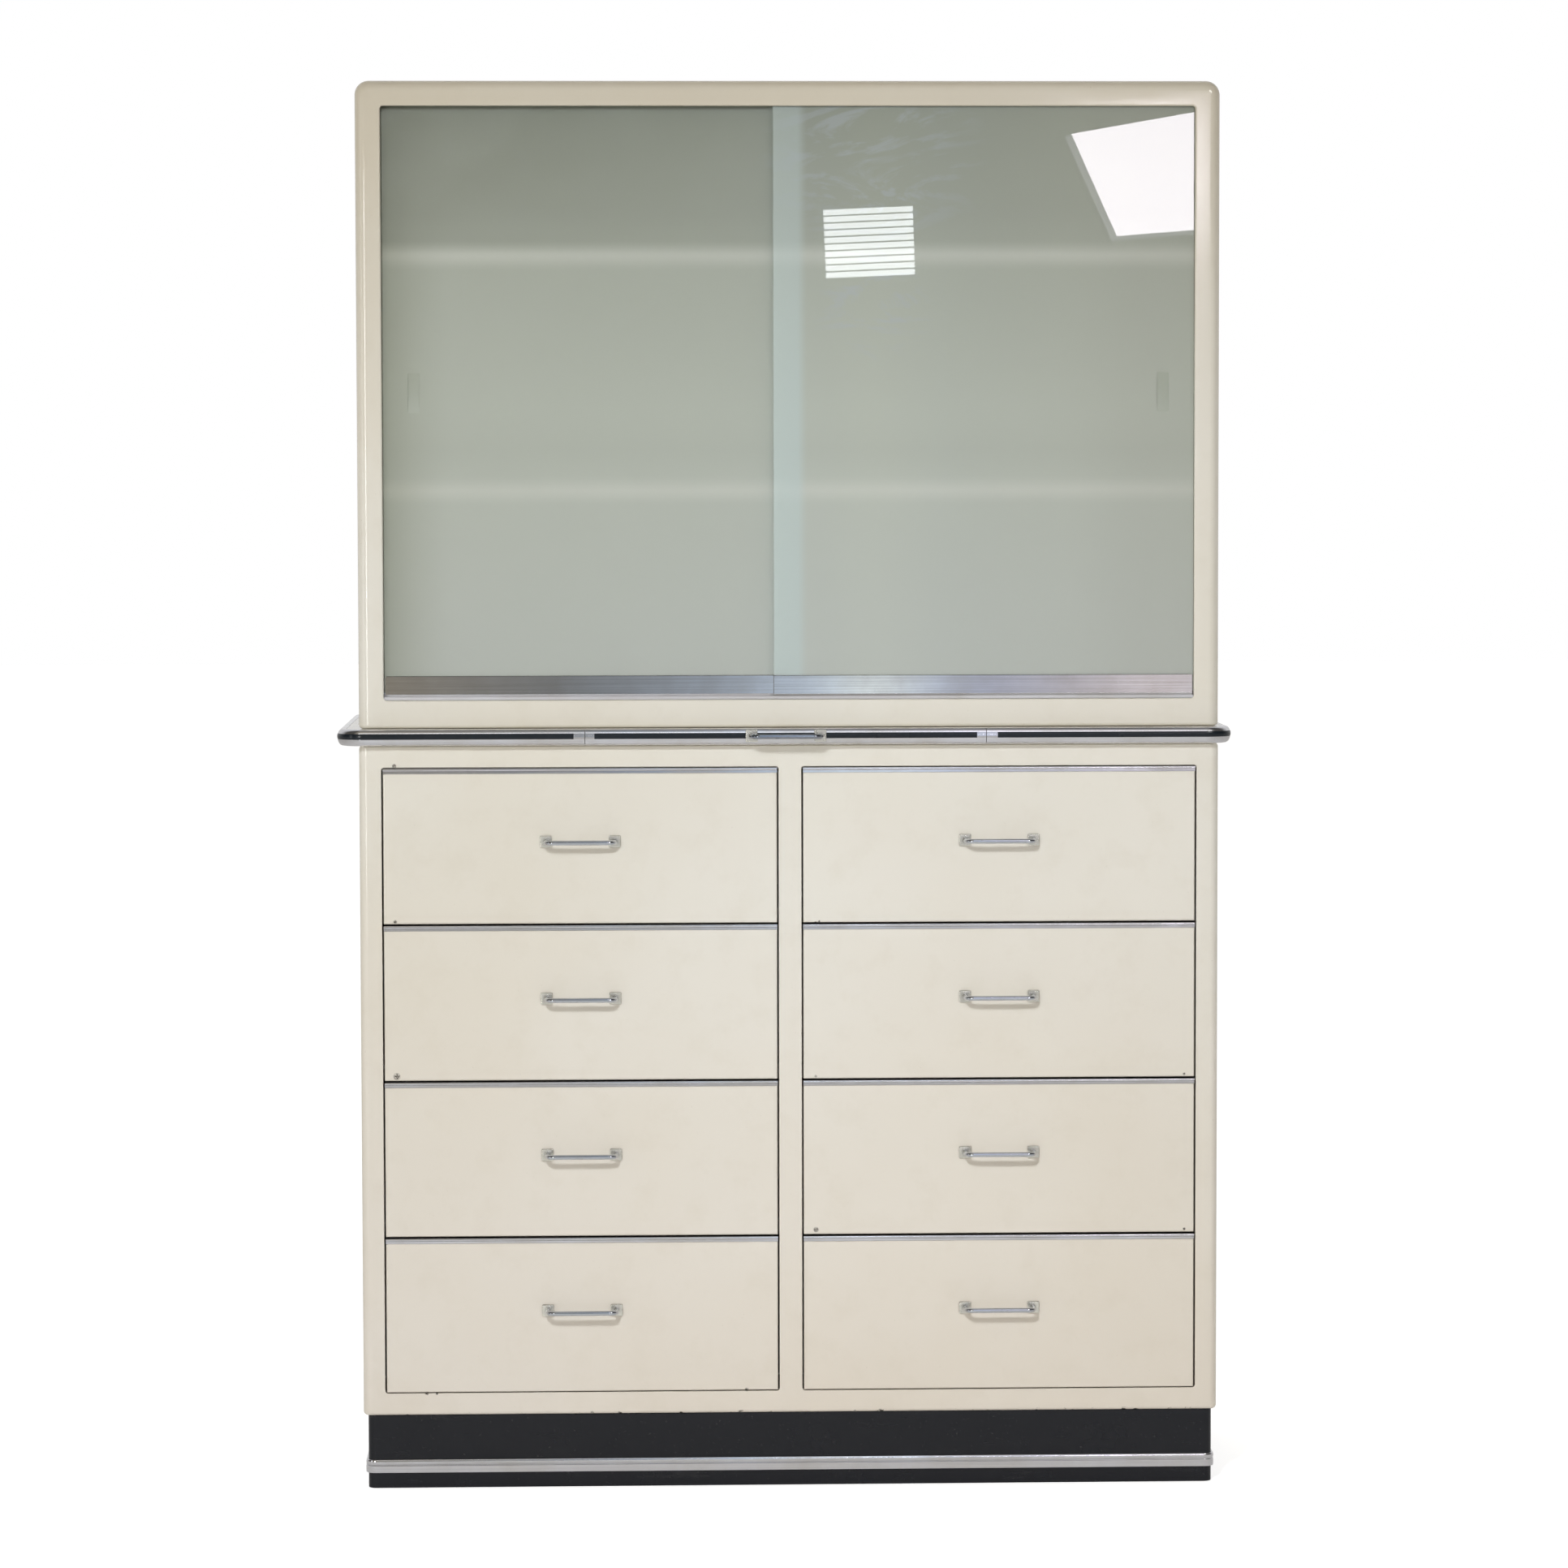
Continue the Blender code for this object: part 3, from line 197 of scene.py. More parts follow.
# What stands in front of the cabinet, by its direction to the right for each metre ahead
ROOM_TONES = (
    (-0.050, (147, 141, 128)),
    (-0.007, (132, 137, 141)),
    (0.0185, (161, 171, 182)),
    (0.038, (203, 218, 235)),
    (0.050, (245, 255, 255)),
    (0.063, (200, 211, 229)),
    (0.072, (182, 188, 206)),
    (0.089, (200, 198, 206)),
    (0.105, (232, 225, 229)),
    (0.160, (150, 148, 146)),
)
FLOOR_GLOW = 0.12
FLOOR_GLOW_SEEN = 0.68
FLOOR_FRONT = -9.0
FLOOR_REACH = 30.0

# Windows behind the camera. Their corners are where the right pane mirrors them in the photo.
WINDOW_DEPTH = -9.5
WINDOW_GLOW = 15.0
TILTED_GLOW = 18.0
FRAME_GLOW = 3.0
WINDOW_SLATS = 10
SLAT_SHARE = 0.80  # how much of the pitch a slat covers
BARRED_WINDOW = ((1018, 343), (1127.5, 338), (1124.5, 252), (1014, 257))
TILTED_WINDOW = ((1376, 291), (1500, 281), (1500, 133), (1320, 165))
TILTED_FOOT = ((1370, 297), (1500, 286), (1500, 281), (1376, 291))
TILTED_SIDE = ((1370, 297), (1376, 291), (1320, 165), (1312, 169))

# Lamps: place, target, width and height, watts, spread in degrees, colour, and whether they
# light surfaces and whether surfaces mirror them
LAMPS = {
    "main": (
        (-0.66, -3.7, 2.45), (0.3, 0, 0.3), (0.28, 0.34), 15.6, 90, (0.96, 1.0, 1.05), True, False,
    ),
    "fill": ((-3.0, -7.5, 1.4), (0, 0, 1.0), (0.8, 2.6), 30.0, 180, (1, 1, 1), True, False),
    "stile_line": ((-3.0, -7.5, 1.2), (0, 0, 1.0), (0.8, 2.1), 70.0, 180, (1, 1, 1), False, True),
    "high_strip": ((0.3, -4.5, 4.2), (0, 0, 1.0), (6.0, 0.5), 13.0, 180, (1, 1, 1), False, True),
    "side": ((-4.2, -2.6, 1.2), (0, 0, 1.0), (0.35, 2.4), 9.0, 180, (1, 1, 1), True, True),
    "spark": ((2.2, -4.5, 3.0), (0, 0, 0.7), (0.9, 0.9), 40.0, 180, (1, 1, 1), False, True),
}

# Heights between which the glass and the enamel change their painted light and shade
GLASS_FOOT, GLASS_MIDDLE, GLASS_HEAD = 1.07, 1.42, 1.86
ENAMEL_FOOT, ENAMEL_LOW, ENAMEL_HIGH, ENAMEL_HEAD = 0.10, 0.95, 1.40, 1.91

# Chips in the enamel: a place across and up the front, and a radius
CHIPS = (
    (-0.5252, 0.5617, 0.0055),
    (-0.5260, 0.7709, 0.0030),
    (0.0402, 0.3500, 0.0042),
    (-0.5262, 0.9810, 0.0035),
    (-0.0298, 0.7663, 0.0020),
    (0.0403, 0.7670, 0.0022),
    (0.0400, 0.5589, 0.0022),
    (0.5404, 0.3476, 0.0024),
    (0.5398, 0.5592, 0.0022),
    (-0.4875, 0.1300, 0.0030),
    (-0.4740, 0.1296, 0.0022),
    (-0.0544, 0.1321, 0.0030),
    (0.0450, 0.7690, 0.0018),
)

RECORD_SLOTS = {part["node"]: part["material_slot"] for part in frame["record"]["subparts"]}
RECORD_BODIES = {
    node: body for body, nodes in frame["record"]["behaviour"]["bodies"].items() for node in nodes
}


def srgb(red, green, blue):
    """A colour written in 0 to 255 display values, as the shader takes it."""
    values = []
    for value in (red, green, blue):
        value = value / 255
        values.append(value / 12.92 if value <= 0.04045 else ((value + 0.055) / 1.055) ** 2.4)
    return (*values, 1.0)


def linked(name, data):
    """A new object in the scene."""
    thing = bpy.data.objects.new(name, data)
    bpy.context.scene.collection.objects.link(thing)
    return thing


def make_camera():
    """The camera at the photo's angle."""
    yaw, pitch, roll = (math.radians(turn) for turn in CAMERA_TURNS)
    ahead = (math.sin(yaw) * math.cos(pitch), math.cos(yaw) * math.cos(pitch), -math.sin(pitch))
    look = Vector(ahead)
    right = Vector((math.cos(yaw), -math.sin(yaw), 0.0))
    up = right.cross(look)
    across = right * math.cos(roll) + up * math.sin(roll)
    upward = up * math.cos(roll) - right * math.sin(roll)
    data = bpy.data.cameras.new("camera")
    data.lens = CAMERA_LENS
    data.sensor_width = CAMERA_SENSOR
    data.clip_end = CAMERA_CLIP
    camera = linked("camera", data)
    turn = Matrix((across, upward, -look)).transposed()
    camera.matrix_world = Matrix.Translation(CAMERA_PLACE) @ turn.to_4x4()
    bpy.context.scene.camera = camera


# Shapes


def loft(rings, loop=False, open_start=False):
    """A mesh through rings of as many points each, capped at its ends or closed as a loop."""
    shape = bmesh.new()
    rows = [[shape.verts.new(point) for point in ring] for ring in rings]
    count = len(rows[0])
    following = [*rows[1:], rows[0]] if loop else rows[1:]
    for near, far in zip(rows, following):
        for index in range(count):
            after = (index + 1) % count
            shape.faces.new((near[index], near[after], far[after], far[index]))
    if not loop:
        caps = rows[-1:] if open_start else (rows[0], rows[-1])
        for row in caps:
            shape.faces.new(row)
    bmesh.ops.remove_doubles(shape, verts=shape.verts, dist=WELD)
    bmesh.ops.recalc_face_normals(shape, faces=shape.faces)
    mesh = bpy.data.meshes.new("shape")
    shape.to_mesh(mesh)
    shape.free()
    return mesh


def joined(meshes):
    """One mesh that holds several."""
    shape = bmesh.new()
    for mesh in meshes:
        shape.from_mesh(mesh)
        bpy.data.meshes.remove(mesh)
    mesh = bpy.data.meshes.new("shape")
    shape.to_mesh(mesh)
    shape.free()
    return mesh


def moved(mesh, offset):
    """A copy of the mesh at another place."""
    copy = mesh.copy()
    copy.transform(Matrix.Translation(offset))
    return copy


def addition(name, mesh, slot, body):
    """A shown piece that stands for no node of its own."""
    thing = linked(name, mesh)
    mesh.name = name
    mesh.materials.clear()
    mesh.materials.append(FINISHES[slot])
    mesh.shade_smooth()
    mesh.set_sharp_from_angle(angle=SHARP_ANGLE)
    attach(thing, body)
    return thing


def piece(node, mesh):
    """A shown piece that stands for a node, rides on its body and takes its finish."""
    thing = addition(node + "_shown", mesh, RECORD_SLOTS[node], RECORD_BODIES[node])
    normals = thing.modifiers.new("normals", "WEIGHTED_NORMAL")
    normals.keep_sharp = True
    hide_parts(node)


def arc(centre, radius, start, end, steps):
    """Points on an arc from one angle to another, both in degrees."""
    points = []
    for step in range(steps + 1):
        angle = math.radians(start + (end - start) * step / steps)
        points.append((centre[0] + radius * math.cos(angle), centre[1] + radius * math.sin(angle)))
    return points


def rounded_ring(sides, depth, low_radius, high_radius=None):
    """A rounded rectangle that faces the front: sides are its left, foot, right and top."""
    if high_radius is None:
        high_radius = low_radius
    left, foot, right, top = sides
    points = []
    corners = (
        (left, foot, low_radius, 180),
        (right, foot, low_radius, 270),
        (right, top, high_radius, 0),
        (left, top, high_radius, 90),
    )
    for x, z, radius, start in corners:
        radius = max(radius, SMALLEST_RADIUS)
        middle_x = x + radius if x == left else x - radius
        middle_z = z + radius if z == foot else z - radius
        for across, up in arc((middle_x, middle_z), radius, start, start + 90, CORNER_STEPS):
            points.append((across, depth, up))
    return points


def rounded_rings(*rings):
    """Several rounded rectangles, each given as rounded_ring takes it."""
    return [rounded_ring(*ring) for ring in rings]


def inset(sides, by):
    """A rectangle drawn in by a margin, or by one margin for each side."""
    left, foot, right, top = sides
    margins = by if isinstance(by, tuple) else (by, by, by, by)
    return (left + margins[0], foot + margins[1], right - margins[2], top - margins[3])


def rolled(radius, depth):
    """How far a quarter-round edge of this radius lies inside its outer face at a depth."""
    return radius - math.sqrt(max(radius**2 - (radius - depth) ** 2, 0.0))


def quarter(radius, steps):
    """Depths along a quarter-round edge, at even angles, and how far in it lies at each."""
    depths = [radius * (1 - math.cos(math.radians(90 * i / steps))) for i in range(steps + 1)]
    return [(depth, rolled(radius, depth)) for depth in depths]


def case_rings(sides, front, back, corner, front_round, top_round, thickness):
    """Rings over a case, from its open back forwards to its front face.

    A thickness above nothing gives the rings over its inside instead.
    """
    outside = thickness == 0
    rings = [rounded_ring(inset(sides, BACK_RIM), back - thickness, TIGHT)]
    for depth, by in quarter(REAR_ROUND, REAR_STEPS) if outside else [(0.0, thickness)]:
        low = CASE_FOOT - by
        high = corner - by
        rings.append(rounded_ring(inset(sides, by), back - thickness - depth, low, high))
    for depth, by in reversed(quarter(front_round, CURVE_STEPS)):
        wide = thickness + by
        foot = thickness + rolled(CASE_FOOT, min(depth, CASE_FOOT))
        top = thickness + rolled(top_round, min(depth, top_round))
        margins = (wide, foot, wide, top)
        ring = rounded_ring(
            inset(sides, margins), front + thickness + depth, CASE_FOOT - foot, corner - wide
        )
        rings.append(ring)
    return rings


def make_upper_case():
    """The display case in one run of rings: outside, front face, rolled opening, jamb, inside."""
    low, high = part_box("upper_case")
    sides = (low.x, low.z, high.x, high.z)
    front = low.y
    rings = case_rings(sides, front, high.y, UPPER_CORNER, UPPER_FRONT, UPPER_FRONT, 0.0)
    hole = inset(sides, (UPPER_FRAME, UPPER_SILL, UPPER_FRAME, UPPER_FRAME))
    corner = OPENING_CORNER
    for depth, out in quarter(OPENING_ROLL, ROLL_STEPS):
        rings.append(rounded_ring(inset(hole, -out), front + depth, corner + out))
    pocket = inset(hole, (0, 0, 0, -TRACK_RECESS))
    outside = inset(pocket, -SHEET)
    rings += rounded_rings(
        (hole, front + OPENING_LIP, corner),
        (pocket, front + OPENING_LIP, TIGHT),
        (pocket, front + UPPER_JAMB, TIGHT),
        (outside, front + UPPER_JAMB, 2 * TIGHT),
        (outside, front + FOLD, 2 * TIGHT),
    )
    inner = case_rings(sides, front, high.y, UPPER_CORNER, UPPER_FRONT, UPPER_FRONT, SHEET)
    rings.extend(reversed(inner))
    piece("upper_case", loft(rings, loop=True))


def cut_out(mesh, cutters):
    """The mesh with the cutters' shapes taken out of it, by helpers that are then deleted."""
    thing = linked("helper", mesh)
    helpers = [linked("helper", cutter) for cutter in cutters]
    for helper in helpers:
        boolean = thing.modifiers.new("cut", "BOOLEAN")
        boolean.operation = "DIFFERENCE"
        boolean.solver = "EXACT"
        boolean.object = helper
    bpy.context.view_layer.update()
    graph = bpy.context.evaluated_depsgraph_get()
    result = bpy.data.meshes.new_from_object(thing.evaluated_get(graph))
    for helper in (thing, *helpers):
        bpy.data.objects.remove(helper)
    return result


def make_lower_case():
    """The drawer case, with two openings cut through its front and a fold behind each."""
    low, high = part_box("lower_case")
    sides = (low.x, low.z, high.x, high.z)
    front = low.y
    outer = case_rings(sides, front, high.y, CASE_FOOT, LOWER_FRONT, LOWER_TOP, 0.0)
    inner = case_rings(sides, front, high.y, CASE_FOOT, LOWER_FRONT, LOWER_TOP, SHEET)
    shell = loft([*reversed(outer), *inner])
    middle = (low.x + high.x) / 2
    column = (high.x - low.x - 2 * LOWER_FRAME - CENTRE_POST) / 2
    cutters = []
    folds = []
    for side in (-1, 1):
        near = middle + side * CENTRE_POST / 2
        far = near + side * column
        hole = (min(near, far), low.z + LOWER_FRAME, max(near, far), high.z - LOWER_FRAME)
        rings = [rounded_ring(inset(hole, -LOWER_ROLL), front - CUT_AHEAD, LOWER_FOLD_CORNER)]
        for depth, out in quarter(LOWER_ROLL, EASE_STEPS):
            rings.append(rounded_ring(inset(hole, -out), front + depth, LOWER_CORNER))
        rings.append(rounded_ring(hole, front + CUT_BEHIND, LOWER_CORNER))
        cutters.append(loft(rings))
        jamb = rounded_rings(
            (hole, front + SHEET, LOWER_CORNER),
            (hole, front + LOWER_JAMB, LOWER_CORNER),
            (inset(hole, -SHEET), front + LOWER_JAMB, LOWER_FOLD_CORNER),
            (inset(hole, -SHEET), front + SHEET, LOWER_FOLD_CORNER),
        )
        folds.append(loft(jamb, loop=True))
    case = cut_out(shell, cutters)
    piece("lower_case", joined([case, *folds]))


def drawer_front_mesh(low, high):
    """A drawer's front: a pan of sheet with rounded edges, folded in behind."""
    sides = (low.x, low.z, high.x, high.z)
    rings = []
    for depth, wide in quarter(FACE_ROUND, ROLL_STEPS):
        margins = (wide, wide, wide, wide * FACE_TOP_SHARE)
        rings.append(rounded_ring(inset(sides, margins), low.y + depth, *FACE_CORNERS))
    rim = inset(sides, FRONT_RIM)
    inside = inset(sides, FRONT_SHEET)
    rings += rounded_rings(
        (sides, high.y, *FACE_CORNERS),
        (rim, high.y, RIM_CORNER),
        (rim, high.y - FRONT_SHEET, RIM_CORNER),
        (inside, high.y - FRONT_SHEET, TIGHT),
        (inside, low.y + FRONT_SHEET + TIGHT, TIGHT),
    )
    return loft(rings)


def prism(outline, left, right):
    """An outline of depths and heights carried from left to right."""
    rings = [[(x, y, z) for y, z in outline] for x in (left, right)]
    return loft(rings)


def strip_mesh(low, high):
    """The strip on a drawer's top edge: a flange, a rounded upper band and a flat lower one."""
    face = low.y + STRIP_BULGE
    step = high.z - STRIP_HEIGHT / 2
    outline = [
        (high.y, high.z),
        (high.y, high.z - STRIP_SHEET),
        (face + STRIP_SHEET, high.z - STRIP_SHEET),
        (face + STRIP_SHEET, low.z),
        (face + STRIP_EASE, low.z),
        (face, low.z + STRIP_EASE),
        (face, step - STRIP_STEP),
        (face + STRIP_STEP, step - 0.0001),
    ]
    for x, y in arc((0, 0), 1.0, -80, 90, CURVE_STEPS):
        outline.append((face - STRIP_BULGE * x, step + (high.z - step) * (1 + y) / 2))
    return prism(outline, low.x, high.x)


def tube(path, radius, sides):
    """Rings of a round rod along a level path."""
    rings = []
    for index, point in enumerate(path):
        before = Vector(path[max(index - 1, 0)])
        after = Vector(path[min(index + 1, len(path) - 1)])
        run = (after - before).normalized()
        across = Vector((run.y, -run.x))
        ring = []
        for turn in range(sides):
            angle = math.tau * turn / sides
            out = across * math.cos(angle) * radius
            ring.append((point[0] + out.x, point[1] + out.y, math.sin(angle) * radius))
        rings.append(ring)
    return rings


def handle_mesh():
    """A bar handle: a rod bent back at both ends into small square plates."""
    half = HANDLE_SPAN / 2
    bend = HANDLE_BEND
    front = -HANDLE_REACH
    left = arc((-half + bend, front + bend), bend, 180, 270, CORNER_STEPS)
    right = arc((half - bend, front + bend), bend, 270, 360, CORNER_STEPS)
    path = [(-half, -ROD_ROOT), *left, *right, (half, -ROD_ROOT)]
    parts = [loft(tube(path, HANDLE_BAR / 2, ROD_SIDES))]
    edge = PLATE / 2
    for side in (-1, 1):
        middle = side * half
        plate = (middle - edge, -edge, middle + edge, edge)
        rings = [rounded_ring(plate, 0.0, PLATE_CORNER)]
        for depth, by in reversed(quarter(PLATE_ROUND, EASE_STEPS)):
            rings.append(rounded_ring(inset(plate, by), depth - PLATE_THICKNESS, PLATE_CORNER))
        parts.append(loft(rings))
    return joined(parts)


def mitred(path):
    """Each point of a level path with the direction of its right side, longer at bends."""
    runs = [(Vector(end) - Vector(start)).normalized() for start, end in zip(path, path[1:])]
    rights = [Vector((run.y, -run.x)) for run in runs]
    marks = []
    for index, point in enumerate(path):
        sides = rights[max(index - 1, 0) : index + 1]
        out = sum(sides, Vector((0.0, 0.0))).normalized()
        marks.append((Vector(point), out / max(out.dot(sides[0]), MITRE_LIMIT)))
    return marks


def sweep(path, profile_at, level):
    """A profile carried along a level path. Its x points to the path's right and its y up."""
    rings = []
    marks = mitred(path)
    for index, (here, out) in enumerate(marks):
        for profile in profile_at(index, len(marks)):
            ring = []
            for x, y in profile:
                spot = here + out * x
                ring.append((spot.x, spot.y, level + y))
            rings.append(ring)
    return loft(rings)


def wrapped_path(half, front, back, radius, steps):
    """A path from the back left corner, forwards, round the front and back along the right."""
    left = arc((-half + radius, front + radius), radius, 180, 270, steps)
    right = arc((half - radius, front + radius), radius, 270, 360, steps)
    return [(-half, back), *left, *right, (half, back)]


def moulding_profile(height, grooved):
    """The ledge moulding's section. Its groove is filled where grooved is false."""
    crown = MOULDING_DEPTH - MOULDING_TOP_EDGE
    points = [(0.0, 0.0)]

    def surface(y):
        if y < MOULDING_WIDEST:
            lean = (MOULDING_WIDEST - y) / MOULDING_WIDEST
            fullness = LOWER_FULLNESS
        else:
            lean = (y - MOULDING_WIDEST) / (height - MOULDING_WIDEST)
            fullness = UPPER_FULLNESS
        return MOULDING_TOP_EDGE + crown * max(1 - lean**2, 0.0) ** (fullness / 2)

    groove_top = INLAY_LEVEL + INLAY_HEIGHT
    for angle in range(-90, 1, 5):
        y = MOULDING_WIDEST * (1 + math.sin(math.radians(angle)))
        if y < INLAY_LEVEL:
            points.append((surface(y), y))
    floor = MOULDING_DEPTH - INLAY_DEPTH
    points.append((surface(INLAY_LEVEL), INLAY_LEVEL))
    for share in (0.001, 0.35, 0.65, 0.999):
        y = INLAY_LEVEL + INLAY_HEIGHT * share
        points.append((floor if grooved else surface(y), y))
    points.append((surface(groove_top), groove_top))
    for angle in range(5, 91, 5):
        y = MOULDING_WIDEST + (height - MOULDING_WIDEST) * math.sin(math.radians(angle))
        if y > groove_top:
            points.append((surface(y), y))
    points.append((0.0, height))
    return points


def inlay_profile():
    """The inlay's crowned section."""
    floor = MOULDING_DEPTH - INLAY_DEPTH + SEAT
    foot = INLAY_LEVEL + INLAY_GAP
    top = INLAY_LEVEL + INLAY_HEIGHT - INLAY_GAP
    shoulder = MOULDING_DEPTH - INLAY_SHOULDER
    middle = (foot + top) / 2
    reach = (top - foot) / 2
    points = [(floor, foot)]
    for angle in range(-90, 91, 10):
        up = math.sin(math.radians(angle))
        out = math.cos(math.radians(angle)) ** INLAY_FULLNESS
        points.append((shoulder + (INLAY_SHOULDER + INLAY_CROWN) * out, middle + reach * up))
    points.append((floor, top))
    return points


def stopped_groove(plain, grooved):
    """The profile or profiles at each place of a moulding whose groove stops before its ends."""

    def profiles(index, count):
        if index in (0, count - 1):
            return [plain]
        if index == 1:
            return [plain, grooved]
        if index == count - 2:
            return [grooved, plain]
        return [grooved]

    return profiles


def make_ledge():
    """The three lengths of moulding with their inlays."""
    low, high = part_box("ledge_moulding_left")
    right_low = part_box("ledge_moulding_right")[0]
    half = -low.x - MOULDING_DEPTH
    front = low.y + MOULDING_DEPTH
    height = high.z - low.z
    radius = LEDGE_CORNER - MOULDING_DEPTH
    profiles = stopped_groove(moulding_profile(height, False), moulding_profile(height, True))
    inlay = inlay_profile()
    path = wrapped_path(half, front, high.y, radius, LEDGE_STEPS)
    first, *left_bend = path[: len(path) // 2]
    *right_bend, last = path[len(path) // 2 :]
    rear = high.y - INLAY_END
    left = [(high.x - INLAY_END, front), (high.x, front)]
    right = [(right_low.x, front), (right_low.x + INLAY_END, front)]
    slide_low, slide_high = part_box("slide_moulding")
    places = (
        slide_low.x,
        slide_low.x + SLIDE_INLAY_END,
        slide_high.x - SLIDE_INLAY_END,
        slide_high.x,
    )
    runs = (
        ("ledge_moulding_left", "ledge_inlay_left", [first, (-half, rear), *left_bend, *left]),
        ("ledge_moulding_right", "ledge_inlay_right", [*right, *right_bend, (half, rear), last]),
        ("slide_moulding", "slide_inlay", [(place, front) for place in places]),
    )
    for moulding, inset_node, run in runs:
        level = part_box(moulding)[0].z
        piece(moulding, sweep(run, profiles, level))
        piece(inset_node, sweep(run[1:-1], lambda i, n: [inlay], level))


def make_plinth():
    """The lacquered base, its corners rounder than in the solid, and its bright trim."""
    low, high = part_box("plinth")
    middle = (low.x + high.x) / 2
    half = (high.x - low.x) / 2
    height = high.z - low.z
    sheet = PLINTH_SHEET
    flange = PLINTH_FLANGE
    section = [
        (0.0, PLINTH_FOOT_ROUND),
        (-PLINTH_FOOT_ROUND, 0.0),
        (-flange, 0.0),
        (-flange, sheet),
        (-sheet, sheet),
        (-sheet, height - sheet),
        (-flange, height - sheet),
        (-flange, height),
        (-PLINTH_TOP_ROUND, height),
        (-0.0004, height - 0.0004),
        (0.0, height - PLINTH_TOP_ROUND),
    ]
    path = []
    corners = (
        (-half, low.y, 180, PLINTH_CORNER),
        (half, low.y, 270, PLINTH_CORNER),
        (half, high.y, 0, PLINTH_REAR_CORNER),
        (-half, high.y, 90, PLINTH_REAR_CORNER),
    )
    for x, y, start, bend in corners:
        centre = (x + bend if x < 0 else x - bend, y + bend if y == low.y else y - bend)
        path.extend(arc(centre, bend, start, start + 90, CURVE_STEPS))
    rings = []
    count = len(path)
    for index in range(count):
        before = Vector(path[index - 1])
        here = Vector(path[index])
        after = Vector(path[(index + 1) % count])
        run = (here - before).normalized() + (after - here).normalized()
        out = Vector((run.y, -run.x)).normalized()
        ring = []
        for x, y in section:
            ring.append((middle + here.x + out.x * x, here.y + out.y * x, low.z + y))
        rings.append(ring)
    piece("plinth", loft(rings, loop=True))

    low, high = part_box("plinth_trim")
    height = high.z - low.z
    flat_top = height * (1 - TRIM_UPPER_SHARE) - TRIM_LINE
    foot = flat_top + TRIM_LINE
    behind = TRIM_DEPTH - TRIM_STEP
    outline = [(0, 0), (TRIM_DEPTH - TRIM_EDGE, 0)]
    outline.extend(arc((TRIM_DEPTH - TRIM_EDGE, TRIM_EDGE), TRIM_EDGE, -90, 0, EASE_STEPS))
    outline.append((TRIM_DEPTH, flat_top - TRIM_EASE))
    outline.append((TRIM_DEPTH - TRIM_EASE, flat_top))
    outline.append((behind, flat_top + TRIM_LINE * 0.2))
    for x, y in arc((0, 0), 1.0, -90, 90, CURVE_STEPS):
        outline.append((behind + TRIM_STEP * x, foot + (height - foot) * (1 + y) / 2))
    outline.append((0, height))
    half = (high.x - low.x) / 2 - TRIM_DEPTH
    front = low.y + TRIM_DEPTH
    path = wrapped_path(half, front, high.y, PLINTH_CORNER + SEAT, CURVE_STEPS)
    path = [(middle + x, y) for x, y in path]
    piece("plinth_trim", sweep(path, lambda i, n: [outline], low.z))


def make_drawers():
    """The fronts, strips and handles of all eight drawers, and the slide's handle."""
    handle = handle_mesh()
    for word in ("left", "right"):
        for row in (1, 2, 3, 4):
            drawer = f"drawer_{word}_{row}"
            piece(drawer + "_front", drawer_front_mesh(*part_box(drawer + "_front")))
            piece(drawer + "_strip", strip_mesh(*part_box(drawer + "_strip")))
            hang_handle(drawer + "_handle", handle)
    hang_handle("slide_handle", handle)


def hang_handle(node, mesh):
    """A handle in the place of its node."""
    low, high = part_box(node)
    place = ((low.x + high.x) / 2, high.y, (low.z + high.z) / 2)
    piece(node, moved(mesh, place))


def pull_level():
    """The height of the finger pulls' middle."""
    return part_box("door_track_bottom")[0].z - SEAT + PULL_LEVEL


def pull_cutter(door, side):
    """The finger pull that is ground into a pane: a shallow drum's edge, square at its ends."""
    low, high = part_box(door)
    reach = PULL_HEIGHT / 2
    radius = (reach**2 + PULL_DEPTH**2) / (2 * PULL_DEPTH)
    half = (high.x - low.x) / 2
    across = (low.x + high.x) / 2 + side * (half + DOOR_SIDE_GAP - PULL_INSET)
    centre = (low.y + PULL_DEPTH - radius, pull_level())
    sweep_angle = math.degrees(math.asin(reach * 1.15 / radius))
    outline = arc(centre, radius, -sweep_angle, sweep_angle, PULL_STEPS)
    outline.append((low.y - PULL_CUT, outline[-1][1]))
    outline.append((low.y - PULL_CUT, outline[0][1]))
    return prism(outline, across - PULL_WIDTH / 2, across + PULL_WIDTH / 2)


def make_panes():
    """The two panes of glass with their edges eased and their finger pulls ground in."""
    for side, word in ((-1, "left"), (1, "right")):
        node = "glass_door_" + word
        low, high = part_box(node)
        left = low.x - PANE_REACH if side < 0 else low.x
        right = high.x + PANE_REACH if side > 0 else high.x
        sides = (left, low.z, right, high.z)
        eased = inset(sides, PANE_EASE)
        rings = rounded_rings(
            (eased, low.y, PANE_CORNER),
            (sides, low.y + PANE_EASE, PANE_CORNER),
            (sides, high.y - PANE_EASE, PANE_CORNER),
            (eased, high.y, PANE_CORNER),
        )
        pane = loft(rings)
        pane = cut_out(pane, [pull_cutter(node, side)])
        piece(node, pane)


def screw_places(low, high):
    """Where a back panel's screws stand: along its top and foot, and up each side."""
    left, right = low.x + SCREW_INSET[0], high.x - SCREW_INSET[0]
    foot, top = low.z + SCREW_INSET[1], high.z - SCREW_INSET[1]
    places = []
    for column in range(SCREW_COLUMNS):
        x = left + (right - left) * column / (SCREW_COLUMNS - 1)
        places.extend([(x, foot), (x, top)])
    for row in range(1, SCREW_ROWS + 1):
        z = foot + (top - foot) * row / (SCREW_ROWS + 1)
        places.extend([(left, z), (right, z)])
    return places


